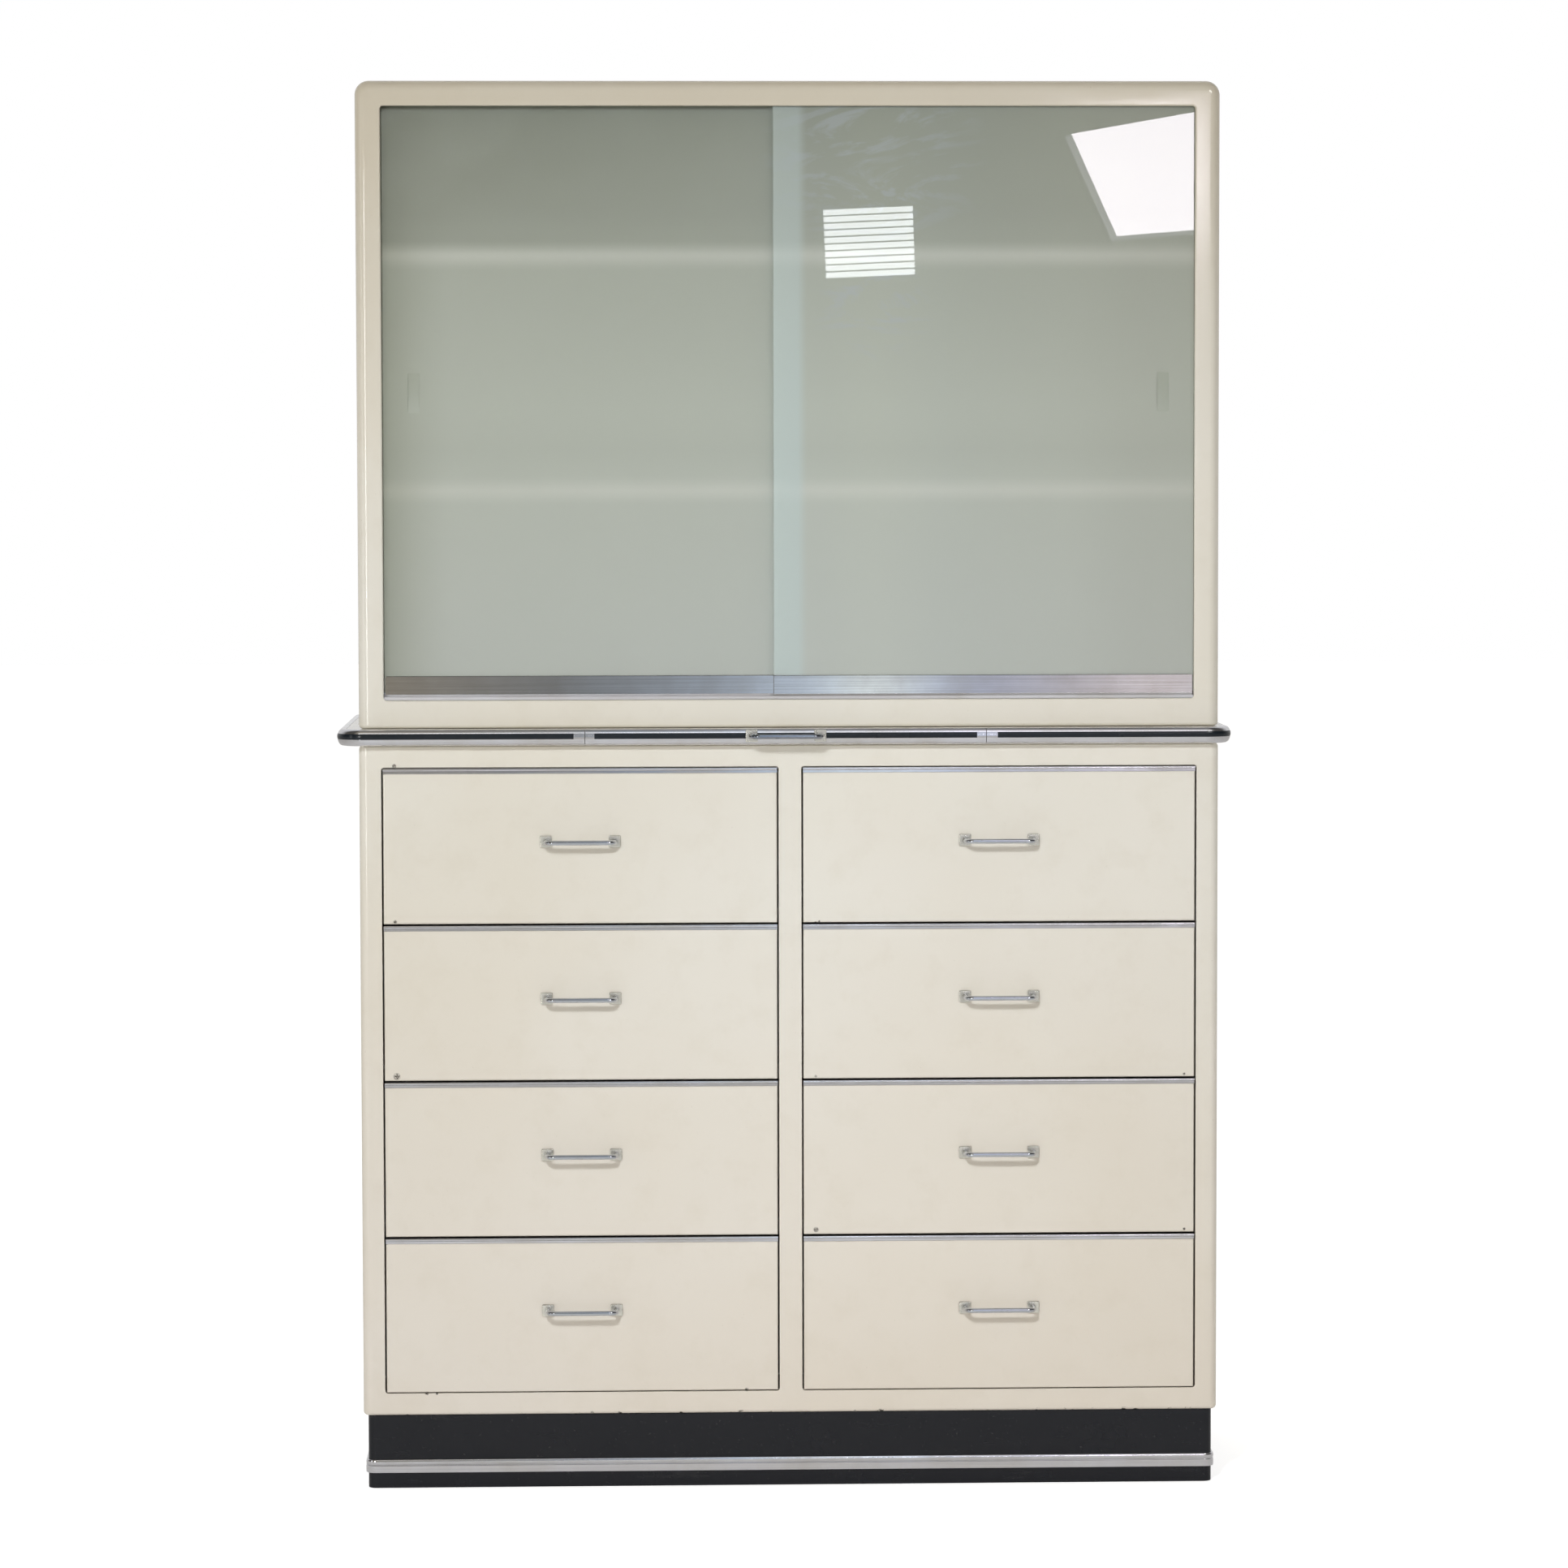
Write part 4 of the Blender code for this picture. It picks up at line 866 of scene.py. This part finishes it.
def make_backs():
    """The back panels, with the screws that hold them to the folds round the cases' backs."""
    for word in ("upper", "lower"):
        node = word + "_back_panel"
        low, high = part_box(node)
        sides = (low.x, low.z, high.x, high.z)
        face = high.y - SCREW_STANDS
        rings = rounded_rings(
            (sides, low.y, PANEL_CORNER),
            (sides, face - PANEL_EDGE, PANEL_CORNER),
            (inset(sides, PANEL_EDGE), face, PANEL_CORNER),
        )
        piece(node, loft(rings))
        heads = []
        for x, z in screw_places(low, high):
            rings = []
            for radius, lift in SCREW_HEAD:
                ring = arc((x, z), radius, 0, 360 - 360 / SCREW_SIDES, SCREW_SIDES - 1)
                rings.append([(px, face + SCREW_STANDS * lift, pz) for px, pz in ring])
            heads.append(loft(rings, open_start=True))
        addition("screws_" + word, joined(heads), "zinc_steel", "cabinet")


class Wiring:
    """A node tree and short ways to wire its nodes."""

    def __init__(self, tree):
        self.tree = tree

    def add(self, kind, inputs=(), **settings):
        """A new node, with its settings and what its inputs are fed, by name or number."""
        node = self.tree.nodes.new(kind)
        for name, value in settings.items():
            setattr(node, name, value)
        for name, value in dict(inputs).items():
            self.feed(node, name, value)
        return node

    def feed(self, node, name, value):
        socket = node.inputs[name]
        if isinstance(value, bpy.types.NodeSocket):
            self.tree.links.new(value, socket)
        else:
            socket.default_value = value

    def spread(self, value, low, high, to_low=0.0, to_high=1.0, smooth=False):
        """The value mapped from one range to another and kept inside it."""
        inputs = {"Value": value, "From Min": low, "From Max": high}
        inputs.update({"To Min": to_low, "To Max": to_high})
        kind = "SMOOTHSTEP" if smooth else "LINEAR"
        node = self.add("ShaderNodeMapRange", inputs, interpolation_type=kind)
        return node.outputs["Result"]

    def blend(self, amount, first, second, mode="MIX"):
        inputs = {0: amount, 6: first, 7: second}
        return self.add("ShaderNodeMix", inputs, data_type="RGBA", blend_type=mode).outputs[2]

    def maths(self, operation, first, second=0.0):
        return self.add("ShaderNodeMath", {0: first, 1: second}, operation=operation).outputs[0]

    def times(self, first, second):
        return self.maths("MULTIPLY", first, second)

    def band(self, value, middle, half, soft):
        """High where the value lies within half of the middle, with soft edges."""
        gap = self.maths("ABSOLUTE", self.maths("SUBTRACT", value, middle))
        return self.spread(gap, half - soft, half + soft, 1.0, 0.0, True)


class Finish(Wiring):
    """A material and the patterns that its colour, roughness and relief are made from."""

    def __init__(self, name, colour, roughness, metallic=0.0):
        self.material = bpy.data.materials.new(name)
        self.material.use_nodes = True
        super().__init__(self.material.node_tree)
        self.shader = self.tree.nodes["Principled BSDF"]
        self.paint(colour)
        self.set(Roughness=roughness, Metallic=metallic)
        self.place = self.add("ShaderNodeTexCoord").outputs["Object"]
        self.split = self.add("ShaderNodeSeparateXYZ", {"Vector": self.place})

    def set(self, **values):
        for name, value in values.items():
            self.feed(self.shader, name, value)

    def paint(self, colour):
        self.colour = colour
        self.set(**{"Base Color": colour})

    def cover(self, amount, colour, mode="MIX"):
        """Lays another colour over the paint so far."""
        self.paint(self.blend(amount, self.colour, colour, mode))

    def axis(self, letter):
        return self.split.outputs[letter]

    def stretched(self, scale):
        inputs = {"Vector": self.place, "Scale": scale}
        return self.add("ShaderNodeMapping", inputs).outputs["Vector"]

    def noise(self, scale, detail=3.0, rough=0.5, where=None, bend=0.0):
        inputs = {"Vector": where or self.place, "Scale": scale, "Detail": detail}
        inputs.update({"Roughness": rough, "Distortion": bend})
        return self.add("ShaderNodeTexNoise", inputs).outputs["Fac"]

    def edges(self, radius, low, high):
        """High along the piece's real edges, where wear begins."""
        soft = self.add("ShaderNodeBevel", {"Radius": radius}, samples=4)
        hard = self.add("ShaderNodeNewGeometry")
        inputs = {0: soft.outputs["Normal"], 1: hard.outputs["Normal"]}
        dot = self.add("ShaderNodeVectorMath", inputs, operation="DOT_PRODUCT")
        return self.spread(self.maths("SUBTRACT", 1.0, dot.outputs["Value"]), low, high)

    def crevices(self, reach, low, high):
        """High in gaps and corners that lie within reach of another surface."""
        node = self.add("ShaderNodeAmbientOcclusion", {"Distance": reach}, samples=6)
        return self.spread(node.outputs["AO"], low, high, 1.0, 0.0)

    def spots(self, marks):
        """High at each mark, which is a place across and up the front and a radius."""
        flat = self.stretched((1.0, 0.0, 1.0))
        total = None
        for x, z, radius in marks:
            inputs = {0: flat, 1: (x, 0.0, z)}
            gap = self.add("ShaderNodeVectorMath", inputs, operation="DISTANCE")
            near = self.spread(gap.outputs["Value"], radius * 0.45, radius, 1.0, 0.0)
            total = near if total is None else self.maths("MAXIMUM", total, near)
        return total

    def relief(self, height, distance, strength=1.0):
        inputs = {"Height": height, "Distance": distance, "Strength": strength}
        self.set(Normal=self.add("ShaderNodeBump", inputs).outputs["Normal"])


def enamel(name, light, gloss, worn):
    """Stoved enamel: painted shade towards the top and foot, orange peel, painted shade with some
    grime in gaps, chips at the edges.
    """
    f = Finish(name, light, gloss)
    height = f.axis("Z")
    # Painted shade: a little darker and warmer towards the foot, and darker towards the top
    upwards = f.spread(height, ENAMEL_FOOT, ENAMEL_LOW)
    f.paint(f.blend(upwards, srgb(235, 228, 218), light))
    upwards = f.spread(height, ENAMEL_HIGH, ENAMEL_HEAD)
    f.cover(upwards, srgb(216, 209, 193))
    tone = f.spread(f.noise(1.9, 3.0, 0.55), 0.33, 0.67, 0.0, 0.5)
    f.cover(tone, srgb(246, 241, 232), "MULTIPLY")
    mottle = f.spread(f.noise(23.0, 4.0, 0.6), 0.50, 0.80, 0.0, 0.14)
    f.cover(mottle, srgb(206, 196, 174))
    # Painted shade, with some grime, in gaps and corners: strong up to the ledge and faint above
    # it
    below = f.spread(height, LEDGE_LEVEL, LEDGE_LEVEL + 0.010, 0.72, 0.12)
    grime_and_shade = f.times(f.crevices(0.004, 0.15, 0.62), below)
    f.cover(grime_and_shade, srgb(92, 82, 60))
    speck = f.spread(f.noise(420.0, 2.0, 0.5), 0.735, 0.77, 0.0, 0.35)
    f.cover(speck, srgb(150, 138, 116))
    peel = f.noise(240.0, 2.0, 0.45)
    if worn:
        patchy = f.spread(f.noise(75.0, 3.0, 0.6), 0.61, 0.66)
        rim = f.times(f.edges(0.0009, 0.04, 0.16), patchy)
        ragged = f.spread(f.noise(700.0, 2.0), 0.30, 0.55)
        chips = f.times(f.spots(CHIPS), ragged)
        foot = f.spread(height, LOWER_FOOT + 0.0015, LOWER_FOOT + 0.0045, 1.0, 0.0)
        foot_wear = f.spread(f.noise(60.0, 3.0, 0.7), 0.60, 0.64)
        chips = f.maths("MAXIMUM", chips, f.times(foot, foot_wear))
        bare = f.maths("MAXIMUM", f.times(rim, 0.85), chips)
        f.cover(bare, srgb(62, 54, 44))
        peel = f.maths("SUBTRACT", peel, f.times(bare, 4.0))
    smears = f.noise(9.0, 4.0, 0.6, f.stretched((1.0, 1.0, 0.35)))
    f.set(Roughness=f.spread(smears, 0.35, 0.70, gloss - 0.02, gloss + 0.07))
    f.relief(peel, 0.00003, 0.6)
    return f.material


def frosted_glass():
    """Glass ground on its inner face: milky, painted paler at its foot and darker above as painted
    light and shade, with wiping marks and dust.

    Pale soft lines are painted where the shelves show through it, as painted light. It has no
    gloss where a pull is ground in.
    """
    f = Finish("frosted_glass", srgb(214, 222, 212), 0.45)
    height = f.axis("Z")
    across = f.axis("X")
    # Painted light and shade: paler at the foot, darker towards the top
    upwards = f.spread(height, GLASS_FOOT, GLASS_MIDDLE)
    f.paint(f.blend(upwards, srgb(222, 228, 222), srgb(217, 224, 212)))
    upwards = f.spread(height, GLASS_MIDDLE, GLASS_HEAD)
    f.cover(upwards, srgb(181, 188, 170))
    # Painted light: a pale line where each shelf shows through, with painted shade just above it
    for level in SHELF_LINES:
        line = f.band(height, level, 0.009, 0.012)
        f.cover(f.times(line, 0.42), srgb(252, 254, 246))
        above = f.band(height, level + 0.055, 0.020, 0.045)
        f.cover(f.times(above, 0.14), srgb(160, 166, 152))
    # Painted shade of the dim inside, above the upper shelf and most of all at the left
    leftward = f.spread(across, 0.45, -0.50)
    over_shelf = f.spread(height, SHELF_LINES[1] + 0.004, SHELF_LINES[1] + 0.020, 0.0, 0.45)
    upward = f.maths("ADD", over_shelf, f.spread(height, 1.70, 1.88, 0.0, 0.55))
    shaded = f.times(upward, f.spread(leftward, 0.0, 1.0, 0.30, 1.0))
    f.cover(shaded, srgb(188, 190, 180), "MULTIPLY")
    # Painted shade: it is darker at both jambs
    at_left = f.spread(across, -0.44, -0.57, 0.0, 0.7, True)
    f.cover(at_left, srgb(198, 198, 180), "MULTIPLY")
    at_right = f.spread(across, 0.36, 0.50, 0.0, 0.5, True)
    f.cover(at_right, srgb(236, 236, 234), "MULTIPLY")
    # Painted light: the front pane is paler where the other stands behind it
    begins, pales, ends = OVERLAP
    doubled = f.spread(across, begins - 0.001, begins + 0.001, 0.0, 0.6)
    doubled = f.times(doubled, f.spread(across, pales, ends, 1.0, 0.0, True))
    doubled = f.times(doubled, f.spread(height, 1.50, GLASS_HEAD, 1.0, 0.60))
    f.cover(doubled, srgb(228, 246, 246))
    cloud = f.spread(f.noise(3.0, 3.0, 0.6), 0.35, 0.70, 0.0, 0.12)
    f.cover(cloud, srgb(200, 208, 196))
    # Wiping smears, with painted reflection: pale and bluish only around where the barred window
    # is mirrored
    smears_and_reflection = f.spread(f.noise(5.0, 6.0, 0.6, f.stretched((1.0, 1.0, 3.0)), 3.5), 0.50, 0.62)
    around = f.spots(((0.12, 1.80, 0.16), (0.12, 1.60, 0.09)))
    smears_and_reflection = f.times(f.times(smears_and_reflection, around), 0.35)
    f.cover(smears_and_reflection, srgb(202, 212, 224))
    wipes = f.noise(7.0, 5.0, 0.62, f.stretched((1.0, 1.0, 1.6)), 2.2)
    f.set(Roughness=f.spread(wipes, 0.3, 0.7, 0.36, 0.46))
    f.set(**{"Transmission Weight": 0.42, "IOR": 1.5, "Coat Roughness": 0.0})
    # The finger pulls are ground through the gloss
    pull = f.band(height, pull_level(), PULL_HEIGHT / 2, 0.0008)
    low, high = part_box("upper_case")
    from_middle = f.maths("ABSOLUTE", f.maths("SUBTRACT", across, (low.x + high.x) / 2))
    inset_by = (high.x - low.x) / 2 - UPPER_FRAME - PULL_INSET
    pull = f.times(pull, f.band(from_middle, inset_by, PULL_WIDTH / 2, 0.0004))
    f.set(**{"Coat Weight": f.maths("SUBTRACT", 1.0, pull)})
    f.relief(f.noise(900.0, 2.0), 0.00001, 0.5)
    return f.material


def rolled_aluminium(name, colour, dull, across, low, high, grime_and_shade, brushed=0.0):
    """Aluminium drawn or brushed along X: fine lines, a little oxide and handling marks."""
    f = Finish(name, colour, low, 1.0)
    f.set(**{"Anisotropic": brushed, "Anisotropic Rotation": 0.25})
    lines = f.noise(1.0, 3.0, 0.65, f.stretched((3.0, across, across)))
    cloud = f.spread(f.noise(11.0, 4.0, 0.6), 0.40, 0.75)
    f.cover(f.spread(lines, 0.30, 0.70), dull)
    # Grime in clouds; on the aluminium this paints no shade
    f.cover(f.times(cloud, 0.45), grime_and_shade)
    mix = f.maths("ADD", f.times(lines, 0.6), f.times(cloud, 0.4))
    sheen = f.spread(mix, 0.25, 0.75, low, high)
    on_track = f.band(f.axis("Z"), *TRACK_BAND, 0.0005)
    f.set(Roughness=f.maths("MAXIMUM", sheen, f.times(on_track, 0.5)))
    nicks = f.spread(f.noise(260.0, 2.0), 0.72, 0.78, 0.0, -1.0)
    f.relief(f.maths("ADD", lines, nicks), 0.00001, 0.4)
    return f.material


def chrome():
    """Chromed steel: bars near mirrors, with painted shade on the drawers' bars and in crevices;
    the plates duller, with scratches and brown pits.
    """
    f = Finish("chrome", srgb(222, 222, 222), 0.06, 1.0)
    haze = f.spread(f.noise(60.0, 4.0, 0.6), 0.40, 0.75)
    pits = f.spread(f.noise(520.0, 2.0, 0.6), 0.67, 0.72)
    on_slide = f.spread(f.axis("Z"), SLIDE_BAND, SLIDE_BAND + 0.001)
    seat = f.spread(on_slide, 0.0, 1.0, DRAWER_PLATES, SLIDE_PLATES)
    plate = f.maths("GREATER_THAN", f.axis("Y"), seat)
    # Painted shade: the bars on the drawers are painted darker than the one on the slide
    f.paint(f.blend(on_slide, srgb(200, 204, 212), srgb(142, 148, 160)))
    f.cover(plate, srgb(232, 230, 220))
    f.cover(f.times(haze, 0.3), srgb(182, 180, 180))
    # Painted shade, with some grime, in the crevices round the plates and bars
    grime_and_shade = f.times(f.crevices(0.006, 0.30, 0.85), 0.80)
    f.cover(grime_and_shade, srgb(52, 50, 44))
    f.cover(pits, srgb(84, 66, 50))
    dull = f.maths("ADD", f.spread(haze, 0.0, 1.0, 0.02, 0.08), f.times(plate, 0.22))
    f.set(Roughness=f.maths("ADD", dull, pits))
    hairs = f.noise(1.0, 2.0, 0.5, f.stretched((60.0, 900.0, 900.0)))
    f.relief(f.maths("SUBTRACT", hairs, pits), 0.00001, 0.5)
    return f.material


def black_gloss(name, colour, low, high, dusty):
    """Black lacquer or inlay: scuffs, dust, and paler scratches towards the floor."""
    f = Finish(name, colour, low)
    f.set(**{"Specular IOR Level": 0.35})
    scuffs = f.spread(f.noise(1.0, 5.0, 0.7, f.stretched((9.0, 9.0, 60.0))), 0.60, 0.74)
    dust = f.spread(f.noise(300.0, 3.0, 0.6), 0.68, 0.74, 0.0, dusty)
    foot = f.spread(f.axis("Z"), 0.0, 0.030, 1.0, 0.15)
    scrape = f.times(f.times(scuffs, foot), dusty)
    f.cover(f.times(scrape, 0.8), srgb(96, 95, 92))
    f.cover(dust, srgb(120, 118, 112))
    f.set(Roughness=f.spread(f.noise(14.0, 4.0, 0.6), 0.3, 0.7, low, high))
    f.relief(f.maths("SUBTRACT", f.noise(160.0, 2.0), scuffs), 0.00003, 0.5)
    return f.material


def zinc_steel():
    """Zinc-plated sheet: a faint spangle and whitish oxide."""
    f = Finish("zinc_steel", srgb(168, 170, 168), 0.4, 1.0)
    spangle = f.add("ShaderNodeTexVoronoi", {"Vector": f.place, "Scale": 130.0})
    grain = f.spread(spangle.outputs["Distance"], 0.0, 0.8)
    oxide = f.spread(f.noise(17.0, 4.0, 0.65), 0.52, 0.75)
    f.paint(f.blend(grain, srgb(158, 161, 160), srgb(184, 186, 184)))
    f.cover(oxide, srgb(196, 196, 190))
    f.set(Roughness=f.spread(oxide, 0.0, 1.0, 0.32, 0.55))
    f.relief(grain, 0.00002, 0.5)
    return f.material


def make_finishes():
    """One material for each of the record's slots."""
    return {
        "cream_enamel": enamel("cream_enamel", srgb(237, 234, 225), 0.07, True),
        "tray_enamel": enamel("tray_enamel", srgb(222, 216, 202), 0.30, False),
        "black_lacquer": black_gloss("black_lacquer", srgb(19, 21, 28), 0.16, 0.30, 0.35),
        "black_inlay": black_gloss("black_inlay", srgb(24, 31, 38), 0.16, 0.30, 0.15),
        "bright_aluminium": rolled_aluminium(
            "bright_aluminium", srgb(226, 226, 230), srgb(208, 208, 214), 900.0, 0.08, 0.20,
            srgb(186, 180, 168),
        ),
        "brushed_aluminium": rolled_aluminium(
            "brushed_aluminium", srgb(218, 217, 218), srgb(192, 190, 189), 700.0, 0.05, 0.10,
            srgb(160, 152, 142), 0.9,
        ),
        "chrome": chrome(),
        "frosted_glass": frosted_glass(),
        "zinc_steel": zinc_steel(),
    }


def dress_nodes():
    """Gives every node that stays shown the finish of its slot."""
    for name, slot in RECORD_SLOTS.items():
        node = frame["nodes"][name]
        node.data.materials.clear()
        node.data.materials.append(FINISHES[slot])


def make_lamps():
    """The lamps, which the camera doesn't see."""
    for name, lamp in LAMPS.items():
        place, target, size, power, spread, colour, lights, mirrored = lamp
        data = bpy.data.lights.new(name, "AREA")
        data.color = colour
        data.shape = "RECTANGLE"
        data.size, data.size_y = size
        data.energy = power
        data.spread = math.radians(spread)
        light = linked(name, data)
        light.location = place
        light.rotation_euler = (Vector(target) - Vector(place)).to_track_quat("-Z", "Y").to_euler()
        light.visible_camera = False
        light.visible_diffuse = lights
        light.visible_glossy = mirrored


def make_world():
    """White to the camera. To all else it is a dim room with a window wall in front.

    What the cabinet mirrors of it has darker sides, and a ceiling that begins higher.
    """
    world = bpy.data.worlds.new("studio")
    world.use_nodes = True
    white = (1.0, 1.0, 1.0, 1.0)
    w = Wiring(world.node_tree)
    direction = w.add("ShaderNodeTexCoord").outputs["Generated"]
    split = w.add("ShaderNodeSeparateXYZ", {"Vector": direction})
    ahead = w.maths("MAXIMUM", w.times(split.outputs["Y"], -1.0), 0.2)
    lean = w.maths("DIVIDE", split.outputs["X"], ahead)
    start = ROOM_TONES[0][0]
    end = ROOM_TONES[-1][0]
    ramp = w.add("ShaderNodeValToRGB", {"Fac": w.spread(lean, start, end)})
    stops = ramp.color_ramp.elements
    while len(stops) < len(ROOM_TONES):
        stops.new(0.5)
    for stop, (place, tone) in zip(stops, ROOM_TONES):
        stop.position = (place - start) / (end - start)
        stop.color = srgb(*tone)
    path = w.add("ShaderNodeLightPath")
    mirrored = path.outputs["Is Glossy Ray"]
    tint = w.blend(mirrored, ROOM_WARMTH, white)
    room = w.blend(1.0, ramp.outputs["Color"], (ROOM_LEVEL,) * 3 + (1.0,), "MULTIPLY")
    room = w.blend(1.0, room, tint, "MULTIPLY")
    aside = w.spread(w.maths("ABSOLUTE", lean), *ROOM_SIDES, 0.0, ROOM_SIDES_SHARE, True)
    room = w.blend(w.times(aside, mirrored), room, ROOM_DARK_SIDES)
    ceiling = []
    for lit, reflected in zip(CEILING_LIT, CEILING_MIRRORED):
        ceiling.append(w.spread(mirrored, 0.0, 1.0, lit, reflected))
    above = w.spread(split.outputs["Z"], *ceiling)
    room = w.blend(above, room, (ROOM_CEILING,) * 3 + (1.0,))
    behind = w.spread(split.outputs["Y"], 0.0, 0.5)
    room = w.blend(behind, room, (ROOM_BEHIND,) * 3 + (1.0,))
    seen = path.outputs["Is Camera Ray"]
    background = w.tree.nodes["Background"]
    w.feed(background, "Color", w.blend(seen, room, white))
    bpy.context.scene.world = world


def flat_stage(name, corners, material):
    """A stage card through four corners."""
    mesh = bpy.data.meshes.new(name)
    mesh.from_pydata(corners, [], [(0, 1, 2, 3)])
    mesh.materials.append(material)
    card = linked(name, mesh)
    return card


def make_floor():
    """A white floor that keeps a faint shadow: part of its white is its own."""
    f = Finish("floor", (0.88, 0.88, 0.88, 1.0), 0.7)
    path = f.add("ShaderNodeLightPath")
    glow = f.spread(path.outputs["Is Camera Ray"], 0.0, 1.0, FLOOR_GLOW, FLOOR_GLOW_SEEN)
    f.set(**{"Emission Color": (1.0, 1.0, 1.0, 1.0), "Emission Strength": glow})
    far = FLOOR_REACH
    near = FLOOR_FRONT
    corners = [(-far, near, 0), (far, near, 0), (far, far, 0), (-far, far, 0)]
    flat_stage("floor", corners, f.material)


def glowing(name, colour, strength):
    """A material that only gives off light."""
    material = bpy.data.materials.new(name)
    material.use_nodes = True
    w = Wiring(material.node_tree)
    w.tree.nodes.clear()
    glow = w.add("ShaderNodeEmission", {"Color": colour, "Strength": strength})
    w.add("ShaderNodeOutputMaterial", {"Surface": glow.outputs["Emission"]})
    return material


def mirrored_place(pixel, plane, depth):
    """Where a card must hang, at a depth in front, to be seen at a pixel in a front pane."""
    camera = bpy.context.scene.camera
    scale = camera.data.sensor_width / camera.data.lens / PHOTO_WIDTH
    across = (pixel[0] - PHOTO_WIDTH / 2) * scale
    up = (PHOTO_WIDTH / 2 - pixel[1]) * scale
    ray = camera.matrix_world.to_3x3() @ Vector((across, up, -1.0))
    spot = camera.location + ray * ((plane - camera.location.y) / ray.y)
    back = Vector((ray.x, -ray.y, ray.z))
    return spot + back * ((depth - spot.y) / back.y)


def make_windows():
    """Two bright windows behind the camera: one through slats, one tilted in a grey frame."""
    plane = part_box("glass_door_right")[0].y
    bright = glowing("daylight", (0.93, 0.97, 1.0, 1.0), WINDOW_GLOW)
    foot_left, foot_right, top_right, top_left = (Vector(corner) for corner in BARRED_WINDOW)
    cards = []
    for slat in range(WINDOW_SLATS):
        low = slat / WINDOW_SLATS
        high = low + SLAT_SHARE / WINDOW_SLATS
        pixels = [
            foot_left.lerp(top_left, low),
            foot_right.lerp(top_right, low),
            foot_right.lerp(top_right, high),
            foot_left.lerp(top_left, high),
        ]
        cards.append((f"window_slat_{slat}", pixels, bright))
    pane = glowing("pale_daylight", (1.0, 0.94, 1.02, 1.0), TILTED_GLOW)
    frame_tone = glowing("window_frame", (0.80, 0.78, 0.90, 1.0), FRAME_GLOW)
    cards.append(("window_tilted", TILTED_WINDOW, pane))
    cards.append(("window_tilted_foot", TILTED_FOOT, frame_tone))
    cards.append(("window_tilted_side", TILTED_SIDE, frame_tone))
    for name, pixels, material in cards:
        corners = [mirrored_place(pixel, plane, WINDOW_DEPTH) for pixel in pixels]
        card = flat_stage(name, corners, material)
        card.visible_camera = False


make_camera()
FINISHES = make_finishes()
dress_nodes()
make_upper_case()
make_lower_case()
make_ledge()
make_plinth()
make_drawers()
make_panes()
make_backs()
make_world()
make_floor()
make_windows()
make_lamps()
bpy.context.scene.view_settings.view_transform = "Standard"
